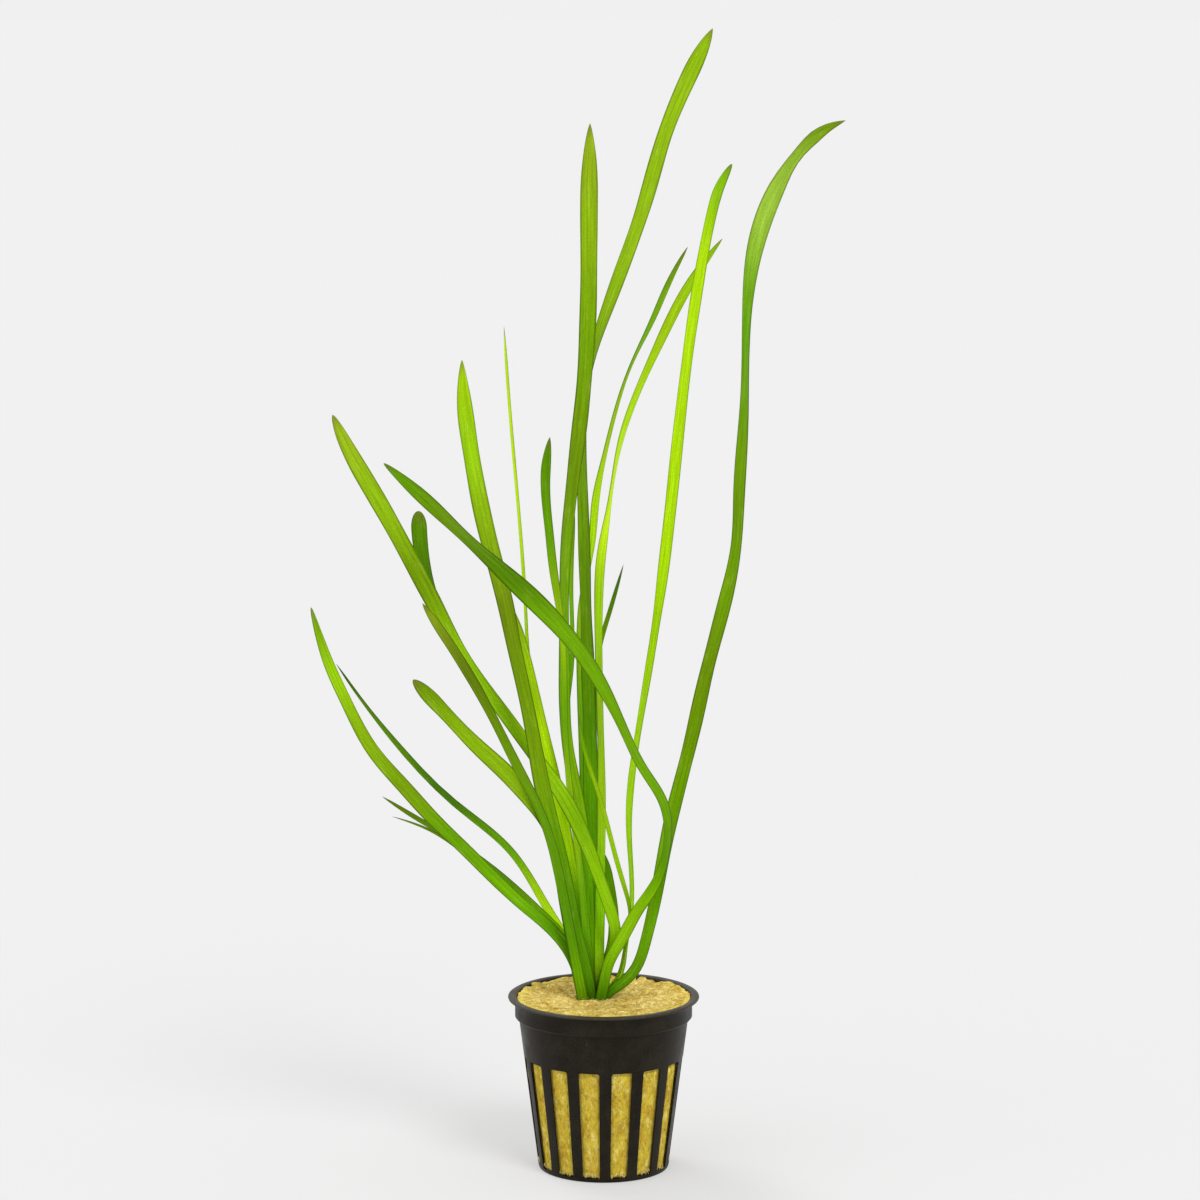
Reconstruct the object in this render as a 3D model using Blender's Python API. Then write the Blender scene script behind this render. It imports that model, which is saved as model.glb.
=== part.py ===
"""A potted vallisneria: ribbon leaves on one crown, a plug of mineral wool and a slotted net pot.

Lengths are written in millimetres and turned into metres by MM when a mesh is made. +Z is up, the
front is towards -Y, and the origin is the middle of the pot's flat underside.
"""

import math

import bmesh
import bpy
import numpy as np

MM = 0.001

# Net pot: a tapered cup with a stepped collar and a flat flange round its mouth.
POT_HEIGHT = 50.5
BASE_RADIUS = 18.8
BODY_TOP_RADIUS = 24.4
COLLAR_RADIUS = 25.5
FLANGE_RADIUS = 27.5
COLLAR_HEIGHT = 6.2
FLANGE_THICKNESS = 0.9
POT_WALL = 0.7
POT_FLOOR = 0.9
POT_EDGE = 0.5
POT_SEGMENTS = 60

# Slots in the pot's side, with a rib between each two, and drain slots in its floor.
SIDE_SLOTS = 15
SIDE_SLOT_TURN = 1.3
SIDE_SLOT_LOW = 1.2
SIDE_SLOT_HIGH = 33.0
SIDE_SLOT_WIDTH_LOW = 4.9
SIDE_SLOT_WIDTH_HIGH = 6.0
SLOT_CORNER = 0.5
DRAIN_SLOTS = 7
DRAIN_SLOT_INNER = 6.5
DRAIN_SLOT_OUTER = 14.5
DRAIN_SLOT_WIDTH = 1.7

# The pieces don't touch: this much air stays between two of them.
GAP = 0.3

# Wool plug, with a planting hole for the crown.
WOOL_TOP = 49.9
WOOL_TOP_GAP = 0.4
WOOL_ROUND = 1.1
WOOL_LUMP = 0.35
WOOL_SEGMENTS = 28
HOLE_CENTRE = (-3.4, 0.4)
HOLE_RADIUS = 5.4
HOLE_DEPTH = 12.0
HOLE_ROUND = 0.8

# Crown: the short upright stem that carries the leaves.
CROWN_TOP = 49.3
CROWN_RADIUS = HOLE_RADIUS - 2 * GAP
CROWN_SEGMENTS = 16

# Leaves: a blade is a thin ribbon, thickest along its middle, that narrows into its base and its tip.
LEAF_BASE = CROWN_TOP + GAP
LEAF_BASE_WIDTH = 2.2
LEAF_THICKNESS = 0.5
LEAF_STEP = 7.0
GROWING_SHARE = 0.45
TIP_ANGLES = (60.0, 35.0, 15.0)
POINTED = 0.8
BLUNT = 0.5

# The crown carries the leaves in three rows, and their bases lie one behind another in each row.
LEFT, MIDDLE, RIGHT = -5.9, -3.4, -0.9
PLACE_FIRST = -3.2
PLACE_PITCH = 0.9

# Colours, as red, green and blue.
POT_BLACK = (0.028, 0.025, 0.022)
WOOL_YELLOW = (0.56, 0.45, 0.16)
CROWN_PALE = (0.45, 0.55, 0.22)
DEEP_GREEN = (0.08, 0.27, 0.01)
MID_GREEN = (0.17, 0.38, 0.02)
LIME_GREEN = (0.36, 0.60, 0.01)
YELLOW_GREEN = (0.45, 0.58, 0.01)
OLIVE_GREEN = (0.16, 0.21, 0.01)

# Each leaf has its name, full width, tip length, tip shape, colour, row, place in the row counted from
# the front, first turn and route. A route's points are x, y, z and the blade's turn in degrees: at 0 the
# blade faces the front.
LEAVES = (
    ("leaf_tall_arching", 5.0, 14, POINTED, MID_GREEN, MIDDLE, 7, 20, (
        (-3.8, 6.5, 68, 25), (-3.6, 9.5, 91, 30), (-3.8, 12, 124, 35), (-5, 13, 165, 48),
        (-5.8, 13.5, 193, 48), (-4.5, 15, 228.1, 60), (0.8, 17.5, 245.4, 52), (6.8, 21, 261.6, 40),
        (11.8, 25, 275.9, 35), (17.6, 29, 295.5, 28), (24.9, 33, 312.7, 22), (31.2, 35, 325.5, 15))),
    ("leaf_tall_upright", 5.4, 20, POINTED, MID_GREEN, MIDDLE, 4, -20, (
        (-4.3, 1, 69.5, -30), (-5.4, 1.4, 90, -40), (-8, 2, 108.5, -45), (-10.6, 2.3, 124, -53),
        (-11.4, 2.4, 147.5, -55), (-11.4, 2, 168, -60), (-10.2, 1, 188, -52), (-6.4, -1.5, 220, -38),
        (-4.4, -4, 251, -28), (-4.2, -6, 279, -25), (-3.8, -7.5, 300, -30))),
    ("leaf_outer_right", 5.4, 28, POINTED, MID_GREEN, RIGHT, 1, 0, (
        (2, -2.6, 52.2, 5), (5.3, -3, 54.7, 5), (8.7, -3.6, 58.4, 8), (12, -4.8, 67.2, 12),
        (14.7, -6.4, 79.5, 15), (18.4, -8.8, 100, 25), (24.9, -11.5, 127.4, 42), (29.1, -12.9, 146.7, 46),
        (33.8, -14, 165.5, 49), (37.1, -14.6, 181.9, 56), (38, -15, 198.5, 55), (39.2, -15, 220, 62),
        (39.9, -14.3, 247, 66), (42.4, -14.3, 267.5, 30), (48.2, -17, 283.4, 36), (56.2, -21, 295.2, 35),
        (60.7, -23, 299, 0), (66, -25, 301.4, 35))),
    ("leaf_crossing_front", 6.2, 34, POINTED, DEEP_GREEN, RIGHT, 0, 0, (
        (0, -3.7, 54.4, 0), (1.6, -5, 61.3, 5), (5.1, -6.5, 68.3, 12), (10, -8.7, 77.5, 42),
        (15.2, -10.9, 86, 58), (17.4, -12.3, 92.7, 66), (18.4, -14, 100.4, 64), (16.9, -16.3, 110.4, 60),
        (11.5, -18.8, 120.1, 62), (5.2, -22.2, 133.5, 59), (-5.4, -27.5, 153.7, 40),
        (-22, -34.5, 173.4, 25), (-38.9, -41, 190.2, 53), (-50.1, -45, 201.4, 35), (-59.6, -48, 210, 35))),
    ("leaf_yellow_right", 3.6, 20, POINTED, YELLOW_GREEN, RIGHT, 4, -15, (
        (-1.2, 1.2, 57, -20), (-1.2, 2.6, 74, -25), (-0.8, 3.6, 96, -42), (-0.8, 4.6, 117, -52),
        (-1.4, 5.8, 141, -58), (-1.6, 6.6, 160, -48), (-0.9, 7, 176, -42), (1.5, 7.5, 192, -70),
        (4.7, 8, 210, -66), (8.6, 8.4, 221.7, -58), (15, 9, 236.2, -42), (25.9, 10, 256.8, -35),
        (33.6, 11, 267, -35))),
    ("leaf_short_upright", 3.2, 11, POINTED, DEEP_GREEN, MIDDLE, 3, 15, (
        (-4.9, -1.3, 70, 40), (-6.9, -1.9, 90.5, 50), (-9.4, -2.5, 110.5, 55), (-11, -3.7, 137, 58),
        (-11.6, -5, 157, 55), (-14.1, -6.8, 175.4, 45), (-15.2, -8.4, 186, 40), (-16.2, -12, 202, 32),
        (-15, -14.5, 213.4, 25))),
    ("leaf_short_spike", 1.5, 16, POINTED, DEEP_GREEN, RIGHT, 7, 10, (
        (-0.8, 6.3, 68.5, 20), (-0.8, 9.2, 90, 30), (-0.9, 11.3, 120, 35), (-1, 12.3, 150.4, 30),
        (1.3, 12.9, 158.5, 30), (5.7, 14, 173.6, 30))),
    ("leaf_long_right", 4.0, 11, POINTED, LIME_GREEN, RIGHT, 5, 10, (
        (2.6, 1.5, 53, 35), (5.2, 1.9, 56.7, 45), (6.5, 2.4, 63.7, 50), (8, 3.2, 74.3, 55),
        (7.4, 4, 98, 55), (8.1, 4, 112.5, 57), (11.5, 3, 135.7, 64), (16, 1, 165.5, 48),
        (18.6, -1, 188, 35), (22.8, -5, 228.5, 43), (26.3, -7, 254.5, 40), (30.1, -9.5, 275.2, 45),
        (32.1, -10.7, 282.3, 49), (35.4, -12, 289, 45))),
    ("leaf_thin_arching", 2.8, 16, POINTED, MID_GREEN, MIDDLE, 8, -10, (
        (-4, 8.5, 67.5, -25), (-5.4, 14, 96, -45), (-6.4, 17, 120, -50), (-7, 19, 148, -50),
        (-6.5, 20.2, 161, -52), (-3.4, 21, 179.5, -48), (-2.4, 21.6, 191, -36), (-0.2, 22.4, 202.5, -58),
        (3.7, 23.5, 218, -70), (7.9, 24.5, 230.1, -70), (13.9, 26, 242.7, -58), (18.7, 27.7, 253.5, -52),
        (24.2, 29.5, 263.5, -50))),
    ("leaf_stub_right", 3.6, 8, POINTED, DEEP_GREEN, RIGHT, 6, 5, (
        (0.6, 3, 57.5, 20), (2.3, 3.7, 63.4, 30), (3, 4.4, 71, 30), (1.6, 5, 79, 25),
        (-1.4, 5.6, 90, 20))),
    ("leaf_thin_bowed", 1.7, 18, POINTED, LIME_GREEN, RIGHT, 3, 10, (
        (1.6, -0.6, 52.3, 45), (4.1, -0.7, 56.2, 50), (6.1, -1, 64.4, 55), (7.6, -1.5, 74.4, 50),
        (5.9, -2.2, 83, 40), (3.8, -2.8, 90.4, 35), (-2, -4.6, 112.4, 45), (-5.7, -5.6, 124.6, 45),
        (-6.9, -6.2, 133.4, 45))),
    ("leaf_hair_thin", 1.2, 14, POINTED, MID_GREEN, LEFT, 7, 10, (
        (-8.5, 5.5, 64, 30), (-13.4, 11.3, 93.5, 40), (-17, 14.3, 121, 40), (-21.3, 16.2, 143.5, 40),
        (-22.5, 17.5, 161, 40), (-25, 20.5, 195, 42), (-27.2, 22.5, 221, 50), (-28.6, 25, 241, 50))),
    ("leaf_broad_left", 5.4, 20, POINTED, LIME_GREEN, MIDDLE, 1, 0, (
        (-5, -3.7, 59, -15), (-7.5, -5, 69, -18), (-12.2, -7.8, 90.5, -22), (-17.7, -10.8, 114.5, -38),
        (-21.7, -12.8, 137.1, -46), (-25.8, -13.8, 156.6, -44), (-27.3, -14.2, 164.6, -36),
        (-32.6, -15, 186, -30), (-37.4, -17.4, 212, -32), (-38.9, -18.7, 225, -36),
        (-39.2, -20, 235.5, -35))),
    ("leaf_long_left", 5.3, 18, POINTED, LIME_GREEN, RIGHT, 2, -5, (
        (0.4, -2, 57.4, -15), (2.4, -2.6, 63.7, -22), (3.4, -3, 68.8, -25), (2, -3.6, 77, -25),
        (-1, -4.3, 88.6, -22), (-5.9, -5, 100.6, -24), (-13.7, -5.9, 113, -38), (-19.2, -6.2, 120.8, -50),
        (-26.9, -6.4, 131.6, -55), (-41, -5.7, 152.1, -56), (-47.8, -5, 164.6, -38),
        (-64.3, -3.8, 195.3, -30), (-73.2, -3.2, 211.4, -32), (-76.2, -3, 218.4, -35))),
    ("leaf_yellow_left", 3.8, 12, POINTED, YELLOW_GREEN, MIDDLE, 6, -5, (
        (-5.7, 4.4, 69, -25), (-8.7, 5.4, 84, -35), (-13.6, 5, 110, -40), (-19.1, 4.6, 133.9, -40),
        (-22.8, 4.6, 149.4, -38), (-27.3, 5, 164.5, -35))),
    ("leaf_blunt_behind", 4.6, 5, BLUNT, DEEP_GREEN, LEFT, 6, 5, (
        (-7.6, 4.2, 62, 25), (-11, 6, 76, 50), (-15.2, 7.7, 94, 62), (-24.6, 9.4, 116, 68),
        (-40.4, 11, 147.6, 66), (-48.4, 12, 165, 56), (-52, 12.9, 177, 22), (-53, 13.7, 189, 0))),
    ("leaf_olive_left", 4.0, 13, POINTED, OLIVE_GREEN, LEFT, 0, 5, (
        (-7.7, -5.2, 60.4, 20), (-11.3, -9.3, 81.5, 35), (-17, -12.8, 104.8, 45), (-23.3, -15.2, 118.6, 44),
        (-33.8, -19, 140.5, 43), (-43.5, -23.2, 157.7, 38), (-50.3, -26, 168.3, 30))),
    ("leaf_blunt_left", 5.2, 10, POINTED, MID_GREEN, LEFT, 1, -5, (
        (-8, -3.4, 60, -20), (-11.7, -5.5, 82.8, -45), (-17.2, -7.3, 103.5, -50), (-20.8, -8, 108.8, -45),
        (-27.4, -9.2, 116.8, -32), (-36, -10.6, 125.2, -41), (-45.7, -12.5, 135.9, -51),
        (-53.6, -14.3, 144.8, -25))),
    ("leaf_far_left", 4.3, 26, POINTED, LIME_GREEN, LEFT, 2, -5, (
        (-7.2, -2, 56.6, -15), (-10.5, -2.7, 64.8, -15), (-14.4, -3.3, 69.9, -25), (-23, -4.2, 77.7, -33),
        (-40.5, -5.6, 95.2, -42), (-48.8, -6.2, 103.6, -30), (-57.1, -6.8, 113.1, -33),
        (-65.1, -7.5, 122.7, -40), (-73.2, -8.7, 138.2, -49), (-77.6, -9.4, 148.4, -52),
        (-82.3, -10.6, 164.9, -50))),
    ("leaf_low_strip", 2.8, 24, POINTED, DEEP_GREEN, LEFT, 4, 5, (
        (-7.3, 1, 58, 15), (-10.2, 1.6, 65.4, 20), (-16.9, 2.3, 73.2, 30), (-33.6, 3.8, 88.4, 50),
        (-44.3, 4.9, 95.7, 55), (-55.4, 6.2, 102.1, 40), (-63.7, 7.4, 107.1, 30))),
    ("leaf_tiny_low", 1.1, 14, POINTED, OLIVE_GREEN, LEFT, 3, 0, (
        (-7.2, -0.6, 57, 10), (-10.6, -0.8, 64.3, 20), (-15.5, -1, 69.8, 30), (-29.7, -1, 83.4, 35),
        (-42.3, -1, 94.2, 35), (-48.8, -0.9, 98.5, 40), (-60.6, 0, 102.8, 40))),
    ("leaf_low_dark", 3.0, 60, POINTED, MID_GREEN, LEFT, 5, 5, (
        (-7.4, 2.3, 59, 15), (-10.4, 3.4, 65.4, 20), (-16.6, 5.3, 75.6, 30), (-26.6, 8.5, 90.8, 38),
        (-42.8, 12.3, 104.1, 38), (-58.7, 16.5, 119.6, 45), (-71.9, 20, 135.7, 50),
        (-77.4, 21.5, 143.4, 50))),
    ("leaf_thin_upright", 1.7, 8, POINTED, LIME_GREEN, MIDDLE, 5, 5, (
        (-4.5, 2.7, 69, 30), (-7, 4.6, 103.5, 45), (-10.5, 6.4, 129.5, 48), (-9, 7.5, 147, 42),
        (-9.2, 8.2, 165, 45), (-8.4, 9, 190, 45))),
)


def material(name, colour, roughness):
    """A new plastic-like or leaf-like surface of one colour."""
    made = bpy.data.materials.new(name)
    made.use_nodes = True
    shader = made.node_tree.nodes["Principled BSDF"]
    shader.inputs["Base Color"].default_value = (*colour, 1.0)
    shader.inputs["Roughness"].default_value = roughness
    shader.inputs["Metallic"].default_value = 0.0
    made.diffuse_color = (*colour, 1.0)
    return made


def new_object(name, mesh, surface=None):
    made = bpy.data.objects.new(name, mesh)
    bpy.context.scene.collection.objects.link(made)
    if surface:
        mesh.materials.append(surface)
    return made


def mesh_from(name, points, faces):
    """A mesh from points in millimetres, smooth but for its sharp edges."""
    mesh = bpy.data.meshes.new(name)
    mesh.from_pydata([tuple(point) for point in np.asarray(points) * MM], [], faces)
    mesh.shade_smooth()
    mesh.set_sharp_from_angle(angle=math.radians(40))
    return mesh


def body_radius(height):
    """Outer radius of the pot's tapered body at a height."""
    share = height / (POT_HEIGHT - COLLAR_HEIGHT)
    return BASE_RADIUS + (BODY_TOP_RADIUS - BASE_RADIUS) * share


def pot_profile():
    """Half section of the pot, from the middle of its floor over the rim to the middle of its underside."""
    step = POT_HEIGHT - COLLAR_HEIGHT
    under = POT_HEIGHT - FLANGE_THICKNESS
    inner_foot = body_radius(POT_FLOOR) - POT_WALL
    inner_step = body_radius(step) - POT_WALL
    inner_collar = COLLAR_RADIUS - POT_WALL
    return (
        (0.0, POT_FLOOR),
        (inner_foot - POT_EDGE, POT_FLOOR),
        (inner_foot, POT_FLOOR + POT_EDGE),
        (inner_step, step + POT_WALL),
        (inner_collar, step + POT_WALL + POT_EDGE),
        (inner_collar, POT_HEIGHT - POT_EDGE),
        (inner_collar + POT_EDGE, POT_HEIGHT),
        (FLANGE_RADIUS - POT_EDGE, POT_HEIGHT),
        (FLANGE_RADIUS, POT_HEIGHT - POT_EDGE / 2),
        (FLANGE_RADIUS - POT_EDGE / 2, under),
        (COLLAR_RADIUS + POT_EDGE, under - POT_EDGE / 2),
        (COLLAR_RADIUS, under - POT_EDGE),
        (COLLAR_RADIUS, step + POT_EDGE / 2),
        (BODY_TOP_RADIUS, step),
        (BASE_RADIUS, POT_EDGE),
        (BASE_RADIUS - POT_EDGE, 0.0),
        (0.0, 0.0),
    )


def prism(bm, angle, spans):
    """A closed box that points out at an angle, and its four edges along that way.

    spans holds, low then high, its height, inner reach, outer reach and width.
    """
    out = np.array((math.cos(angle), math.sin(angle)))
    side = np.array((-out[1], out[0]))
    rings = []
    for height, inner, outer, width in spans:
        corners = []
        for reach, sign in ((inner, -1), (outer, -1), (outer, 1), (inner, 1)):
            flat = out * reach + side * sign * width / 2
            corners.append(bm.verts.new((flat[0] * MM, flat[1] * MM, height * MM)))
        rings.append(corners)
    low, high = rings
    bm.faces.new(low[::-1])
    bm.faces.new(high)
    pointing_out = []
    for i in range(4):
        j = (i + 1) % 4
        bm.faces.new((low[i], low[j], high[j], high[i]))
    for ring in rings:
        pointing_out.append(bm.edges.get((ring[0], ring[1])))
        pointing_out.append(bm.edges.get((ring[2], ring[3])))
    return pointing_out


def slot_cutter():
    """Every slot of the pot as one helper object, with the side slots' corners rounded."""
    bm = bmesh.new()
    corners = []
    front = math.radians(SIDE_SLOT_TURN - 90)
    inner = BASE_RADIUS - 4 * POT_WALL
    for i in range(SIDE_SLOTS):
        angle = front + math.tau * (i + 0.5) / SIDE_SLOTS
        corners += prism(bm, angle, (
            (SIDE_SLOT_LOW, inner, FLANGE_RADIUS, SIDE_SLOT_WIDTH_LOW),
            (SIDE_SLOT_HIGH, inner, FLANGE_RADIUS, SIDE_SLOT_WIDTH_HIGH),
        ))
    bmesh.ops.bevel(
        bm, geom=corners, offset=SLOT_CORNER * MM, offset_type="OFFSET", segments=1, affect="EDGES"
    )
    for i in range(DRAIN_SLOTS):
        angle = front + math.tau * i / DRAIN_SLOTS
        prism(bm, angle, (
            (-POT_FLOOR, DRAIN_SLOT_INNER, DRAIN_SLOT_OUTER, DRAIN_SLOT_WIDTH),
            (2 * POT_FLOOR, DRAIN_SLOT_INNER, DRAIN_SLOT_OUTER, DRAIN_SLOT_WIDTH),
        ))
    bmesh.ops.recalc_face_normals(bm, faces=bm.faces)
    mesh = bpy.data.meshes.new("slot_cutter")
    bm.to_mesh(mesh)
    bm.free()
    cutter = new_object("slot_cutter", mesh)
    cutter.hide_render = True
    cutter.display_type = "WIRE"
    return cutter


def net_pot():
    """The pot: its half section turned round the axis, with the slots cut out."""
    profile = pot_profile()
    mesh = bpy.data.meshes.new("net_pot")
    points = [(radius * MM, 0.0, height * MM) for radius, height in profile]
    mesh.from_pydata(points, [(i, i + 1) for i in range(len(points) - 1)], [])
    pot = new_object("net_pot", mesh, material("pot_plastic", POT_BLACK, 0.42))
    turned = pot.modifiers.new("turned", "SCREW")
    turned.steps = turned.render_steps = POT_SEGMENTS
    turned.use_merge_vertices = True
    turned.merge_threshold = 1e-5
    turned.use_smooth_shade = False
    slots = pot.modifiers.new("slots", "BOOLEAN")
    slots.operation = "DIFFERENCE"
    slots.solver = "EXACT"
    slots.object = slot_cutter()
    return pot


def lumps(x, y):
    """Height of the wool's uneven top: three crossed waves, from -1 to 1."""
    return (np.sin(0.55 * x + 1.1) + np.sin(0.47 * y + 0.31 * x) + np.sin(0.9 * y - 0.4 * x + 2.0)) / 3


def wool_plug():
    """The plug: rings of points from its underside, up its side, over its top and down the hole.

    A ring is its radius, its height, how much of the lumps it takes and its share of the hole's offset.
    """
    shelf = POT_HEIGHT - COLLAR_HEIGHT + POT_WALL
    inner = POT_WALL + GAP
    foot = POT_FLOOR + GAP
    edge = COLLAR_RADIUS - inner - WOOL_TOP_GAP
    hole_floor = WOOL_TOP - HOLE_DEPTH
    cx, cy = HOLE_CENTRE
    rings = (
        (body_radius(foot) - inner - WOOL_ROUND, foot, 0, 0),
        (body_radius(foot) - inner, foot + WOOL_ROUND, 0, 0),
        (body_radius(shelf - POT_WALL) - inner, shelf + GAP, 0, 0),
        (COLLAR_RADIUS - inner, shelf + 4 * GAP, 0, 0),
        (edge, WOOL_TOP - WOOL_ROUND, 0, 0),
        (edge - 0.3 * WOOL_ROUND, WOOL_TOP - 0.3 * WOOL_ROUND, 0.3, 0),
        (edge - 2 * WOOL_ROUND, WOOL_TOP, 1, 0.1),
        (0.75 * edge, WOOL_TOP, 1, 0.3),
        (0.5 * edge, WOOL_TOP, 1, 0.6),
        (HOLE_RADIUS + 3 * HOLE_ROUND, WOOL_TOP, 1, 0.9),
        (HOLE_RADIUS + HOLE_ROUND, WOOL_TOP, 0.4, 1),
        (HOLE_RADIUS + 0.3 * HOLE_ROUND, WOOL_TOP - 0.3 * HOLE_ROUND, 0, 1),
        (HOLE_RADIUS, WOOL_TOP - 2 * HOLE_ROUND, 0, 1),
        (HOLE_RADIUS, hole_floor, 0, 1),
    )
    turn = np.arange(WOOL_SEGMENTS) * math.tau / WOOL_SEGMENTS
    points = [(0.0, 0.0, foot)]
    for radius, height, lumpiness, off_centre in rings:
        x = radius * np.cos(turn) + cx * off_centre
        y = radius * np.sin(turn) + cy * off_centre
        z = height + WOOL_LUMP * lumpiness * lumps(x, y)
        points += list(zip(x, y, z))
    points.append((cx, cy, hole_floor))
    return new_object(
        "wool_plug",
        mesh_from("wool_plug", points, ring_faces(len(rings), WOOL_SEGMENTS)),
        material("mineral_wool", WOOL_YELLOW, 0.95),
    )


def ring_faces(rings, around):
    """Faces of a closed skin: a first point, rings of points one after another, and a last point."""
    faces = []
    last = 1 + rings * around
    for i in range(around):
        j = (i + 1) % around
        faces.append((0, 1 + j, 1 + i))
        faces.append((last, last - around + i, last - around + j))
        for ring in range(rings - 1):
            low = 1 + ring * around
            faces.append((low + i, low + j, low + around + j, low + around + i))
    return faces


def crown():
    """The short stem: a rounded plug that stands in the planting hole."""
    foot = WOOL_TOP - HOLE_DEPTH + GAP
    cx, cy = HOLE_CENTRE
    rings = (
        (CROWN_RADIUS * 0.55, foot),
        (CROWN_RADIUS * 0.85, foot + 2.0),
        (CROWN_RADIUS * 0.95, foot + 6.0),
        (CROWN_RADIUS, CROWN_TOP - 2.0),
        (CROWN_RADIUS, CROWN_TOP - 0.5),
        (CROWN_RADIUS * 0.96, CROWN_TOP),
    )
    turn = np.arange(CROWN_SEGMENTS) * math.tau / CROWN_SEGMENTS
    points = [(cx, cy, foot)]
    for radius, height in rings:
        points += [(cx + radius * math.cos(a), cy + radius * math.sin(a), height) for a in turn]
    points.append((cx, cy, CROWN_TOP))
    return new_object(
        "crown",
        mesh_from("crown", points, ring_faces(len(rings), CROWN_SEGMENTS)),
        material("crown_stem", CROWN_PALE, 0.5),
    )


def smooth_curve(stations, values, at):
    """The natural cubic spline through the values, read at other stations."""
    stations, values = np.asarray(stations, float), np.asarray(values, float)
    count = len(stations)
    span = np.diff(stations)
    slope = np.diff(values, axis=0) / span[:, None]
    matrix = np.eye(count)
    right = np.zeros_like(values)
    for i in range(1, count - 1):
        matrix[i, i - 1 : i + 2] = span[i - 1], 2 * (span[i - 1] + span[i]), span[i]
        right[i] = 6 * (slope[i] - slope[i - 1])
    bend = np.linalg.solve(matrix, right)
    first = np.clip(np.searchsorted(stations, at) - 1, 0, count - 2)
    along = (at - stations[first])[:, None]
    length = span[first][:, None]
    start = slope[first] - length * (2 * bend[first] + bend[first + 1]) / 6
    curve = bend[first] / 2 + along * (bend[first + 1] - bend[first]) / (6 * length)
    return values[first] + along * (start + along * curve)


def blade_width(along, length, width, tip, shape):
    """Width along a blade: it grows from the base, stays even, and runs out in the tip."""
    base = min(width, LEAF_BASE_WIDTH)
    grown = np.clip(along / (GROWING_SHARE * length), 0, 1)
    body = base + (width - base) * grown * grown * (3 - 2 * grown)
    left = np.clip((length - along) / tip, 0, 1)
    return body * (1 - (1 - left) ** 2) ** shape


def leaf(name, width, tip, shape, colour, row, place, first_turn, route):
    """One blade: four-cornered sections along its route, with a flat base and a tip that is one point."""
    base = (row, PLACE_FIRST + PLACE_PITCH * place, LEAF_BASE, first_turn)
    route = np.array((base, *route), float)
    stations = np.append(0, np.cumsum(np.linalg.norm(np.diff(route[:, :3], axis=0), axis=1)))
    length = stations[-1]
    even = np.linspace(0, length - tip, max(3, round((length - tip) / LEAF_STEP)))
    ending = [length - tip * (1 - math.cos(math.radians(angle))) for angle in TIP_ANGLES]
    along = np.concatenate((even, ending, [length]))
    read = smooth_curve(stations, route, along)
    centre = read[:, :3]
    turn = np.radians(read[:, 3])[:, None]
    ahead = np.gradient(centre, along, axis=0)
    ahead /= np.linalg.norm(ahead, axis=1)[:, None]
    across = np.cross(ahead, (0.0, 1.0, 0.0))
    across /= np.linalg.norm(across, axis=1)[:, None]
    away = np.cross(across, ahead)
    edge = across * np.cos(turn) + away * np.sin(turn)
    face = np.cross(edge, ahead)
    half = blade_width(along, length, width, tip, shape)[:, None] / 2
    thick = np.minimum(LEAF_THICKNESS / 2, half * 0.5)
    side, middle = edge * half, face * thick
    rings = np.stack((centre + side, centre + middle, centre - side, centre - middle), axis=1)
    rings[0, :, 2] = LEAF_BASE
    points = list(rings[:-1].reshape(-1, 3))
    points.append(centre[-1])
    count = len(along) - 1
    faces = [(0, 1, 2, 3)]
    for ring in range(count - 1):
        for i in range(4):
            j = (i + 1) % 4
            low = 4 * ring
            faces.append((low + i, low + 4 + i, low + 4 + j, low + j))
    last = 4 * (count - 1)
    for i in range(4):
        faces.append((last + i, 4 * count, last + (i + 1) % 4))
    return new_object(name, mesh_from(name, points, faces), material(name, colour, 0.4))


def main():
    for old in list(bpy.data.objects):
        bpy.data.objects.remove(old, do_unlink=True)
    scene = bpy.context.scene
    scene.unit_settings.system = "METRIC"
    scene.unit_settings.scale_length = 1.0
    net_pot()
    wool_plug()
    crown()
    for row in LEAVES:
        leaf(*row)


main()
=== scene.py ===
"""A potted vallisneria, dressed for its picture: blades, net pot, mineral wool, crown and a plain stage.

Run as a script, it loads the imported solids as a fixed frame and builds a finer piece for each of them.
Lengths in the tables and in the functions for shapes are millimetres, and new_piece turns them into
metres. Those in materials and in properties are metres. +Z is up and the front is towards -Y.
"""

import itertools
import math

import bmesh
import bpy
import numpy as np
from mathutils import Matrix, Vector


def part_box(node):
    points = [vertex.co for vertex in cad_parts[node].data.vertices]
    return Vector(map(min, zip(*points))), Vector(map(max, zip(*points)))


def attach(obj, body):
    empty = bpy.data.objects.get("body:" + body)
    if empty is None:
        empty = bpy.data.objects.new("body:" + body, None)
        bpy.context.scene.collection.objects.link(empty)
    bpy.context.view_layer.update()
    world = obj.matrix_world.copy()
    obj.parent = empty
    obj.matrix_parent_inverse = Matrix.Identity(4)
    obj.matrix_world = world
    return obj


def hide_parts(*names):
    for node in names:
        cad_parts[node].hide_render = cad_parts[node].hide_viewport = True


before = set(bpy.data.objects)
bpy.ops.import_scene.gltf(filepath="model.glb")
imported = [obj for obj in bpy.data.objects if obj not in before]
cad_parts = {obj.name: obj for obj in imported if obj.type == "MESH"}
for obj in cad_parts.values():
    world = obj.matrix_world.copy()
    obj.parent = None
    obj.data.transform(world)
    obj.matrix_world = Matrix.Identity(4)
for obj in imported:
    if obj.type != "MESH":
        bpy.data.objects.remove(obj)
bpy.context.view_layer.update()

bl_info = {
    "name": "Potted vallisneria",
    "version": (1, 0, 0),
    "blender": (4, 5, 0),
    "location": "View3D > Sidebar > Vallisneria",
    "description": "Builds a vallisneria in a slotted net pot around its packed solids",
    "category": "Add Mesh",
}

MM = 0.001

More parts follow.
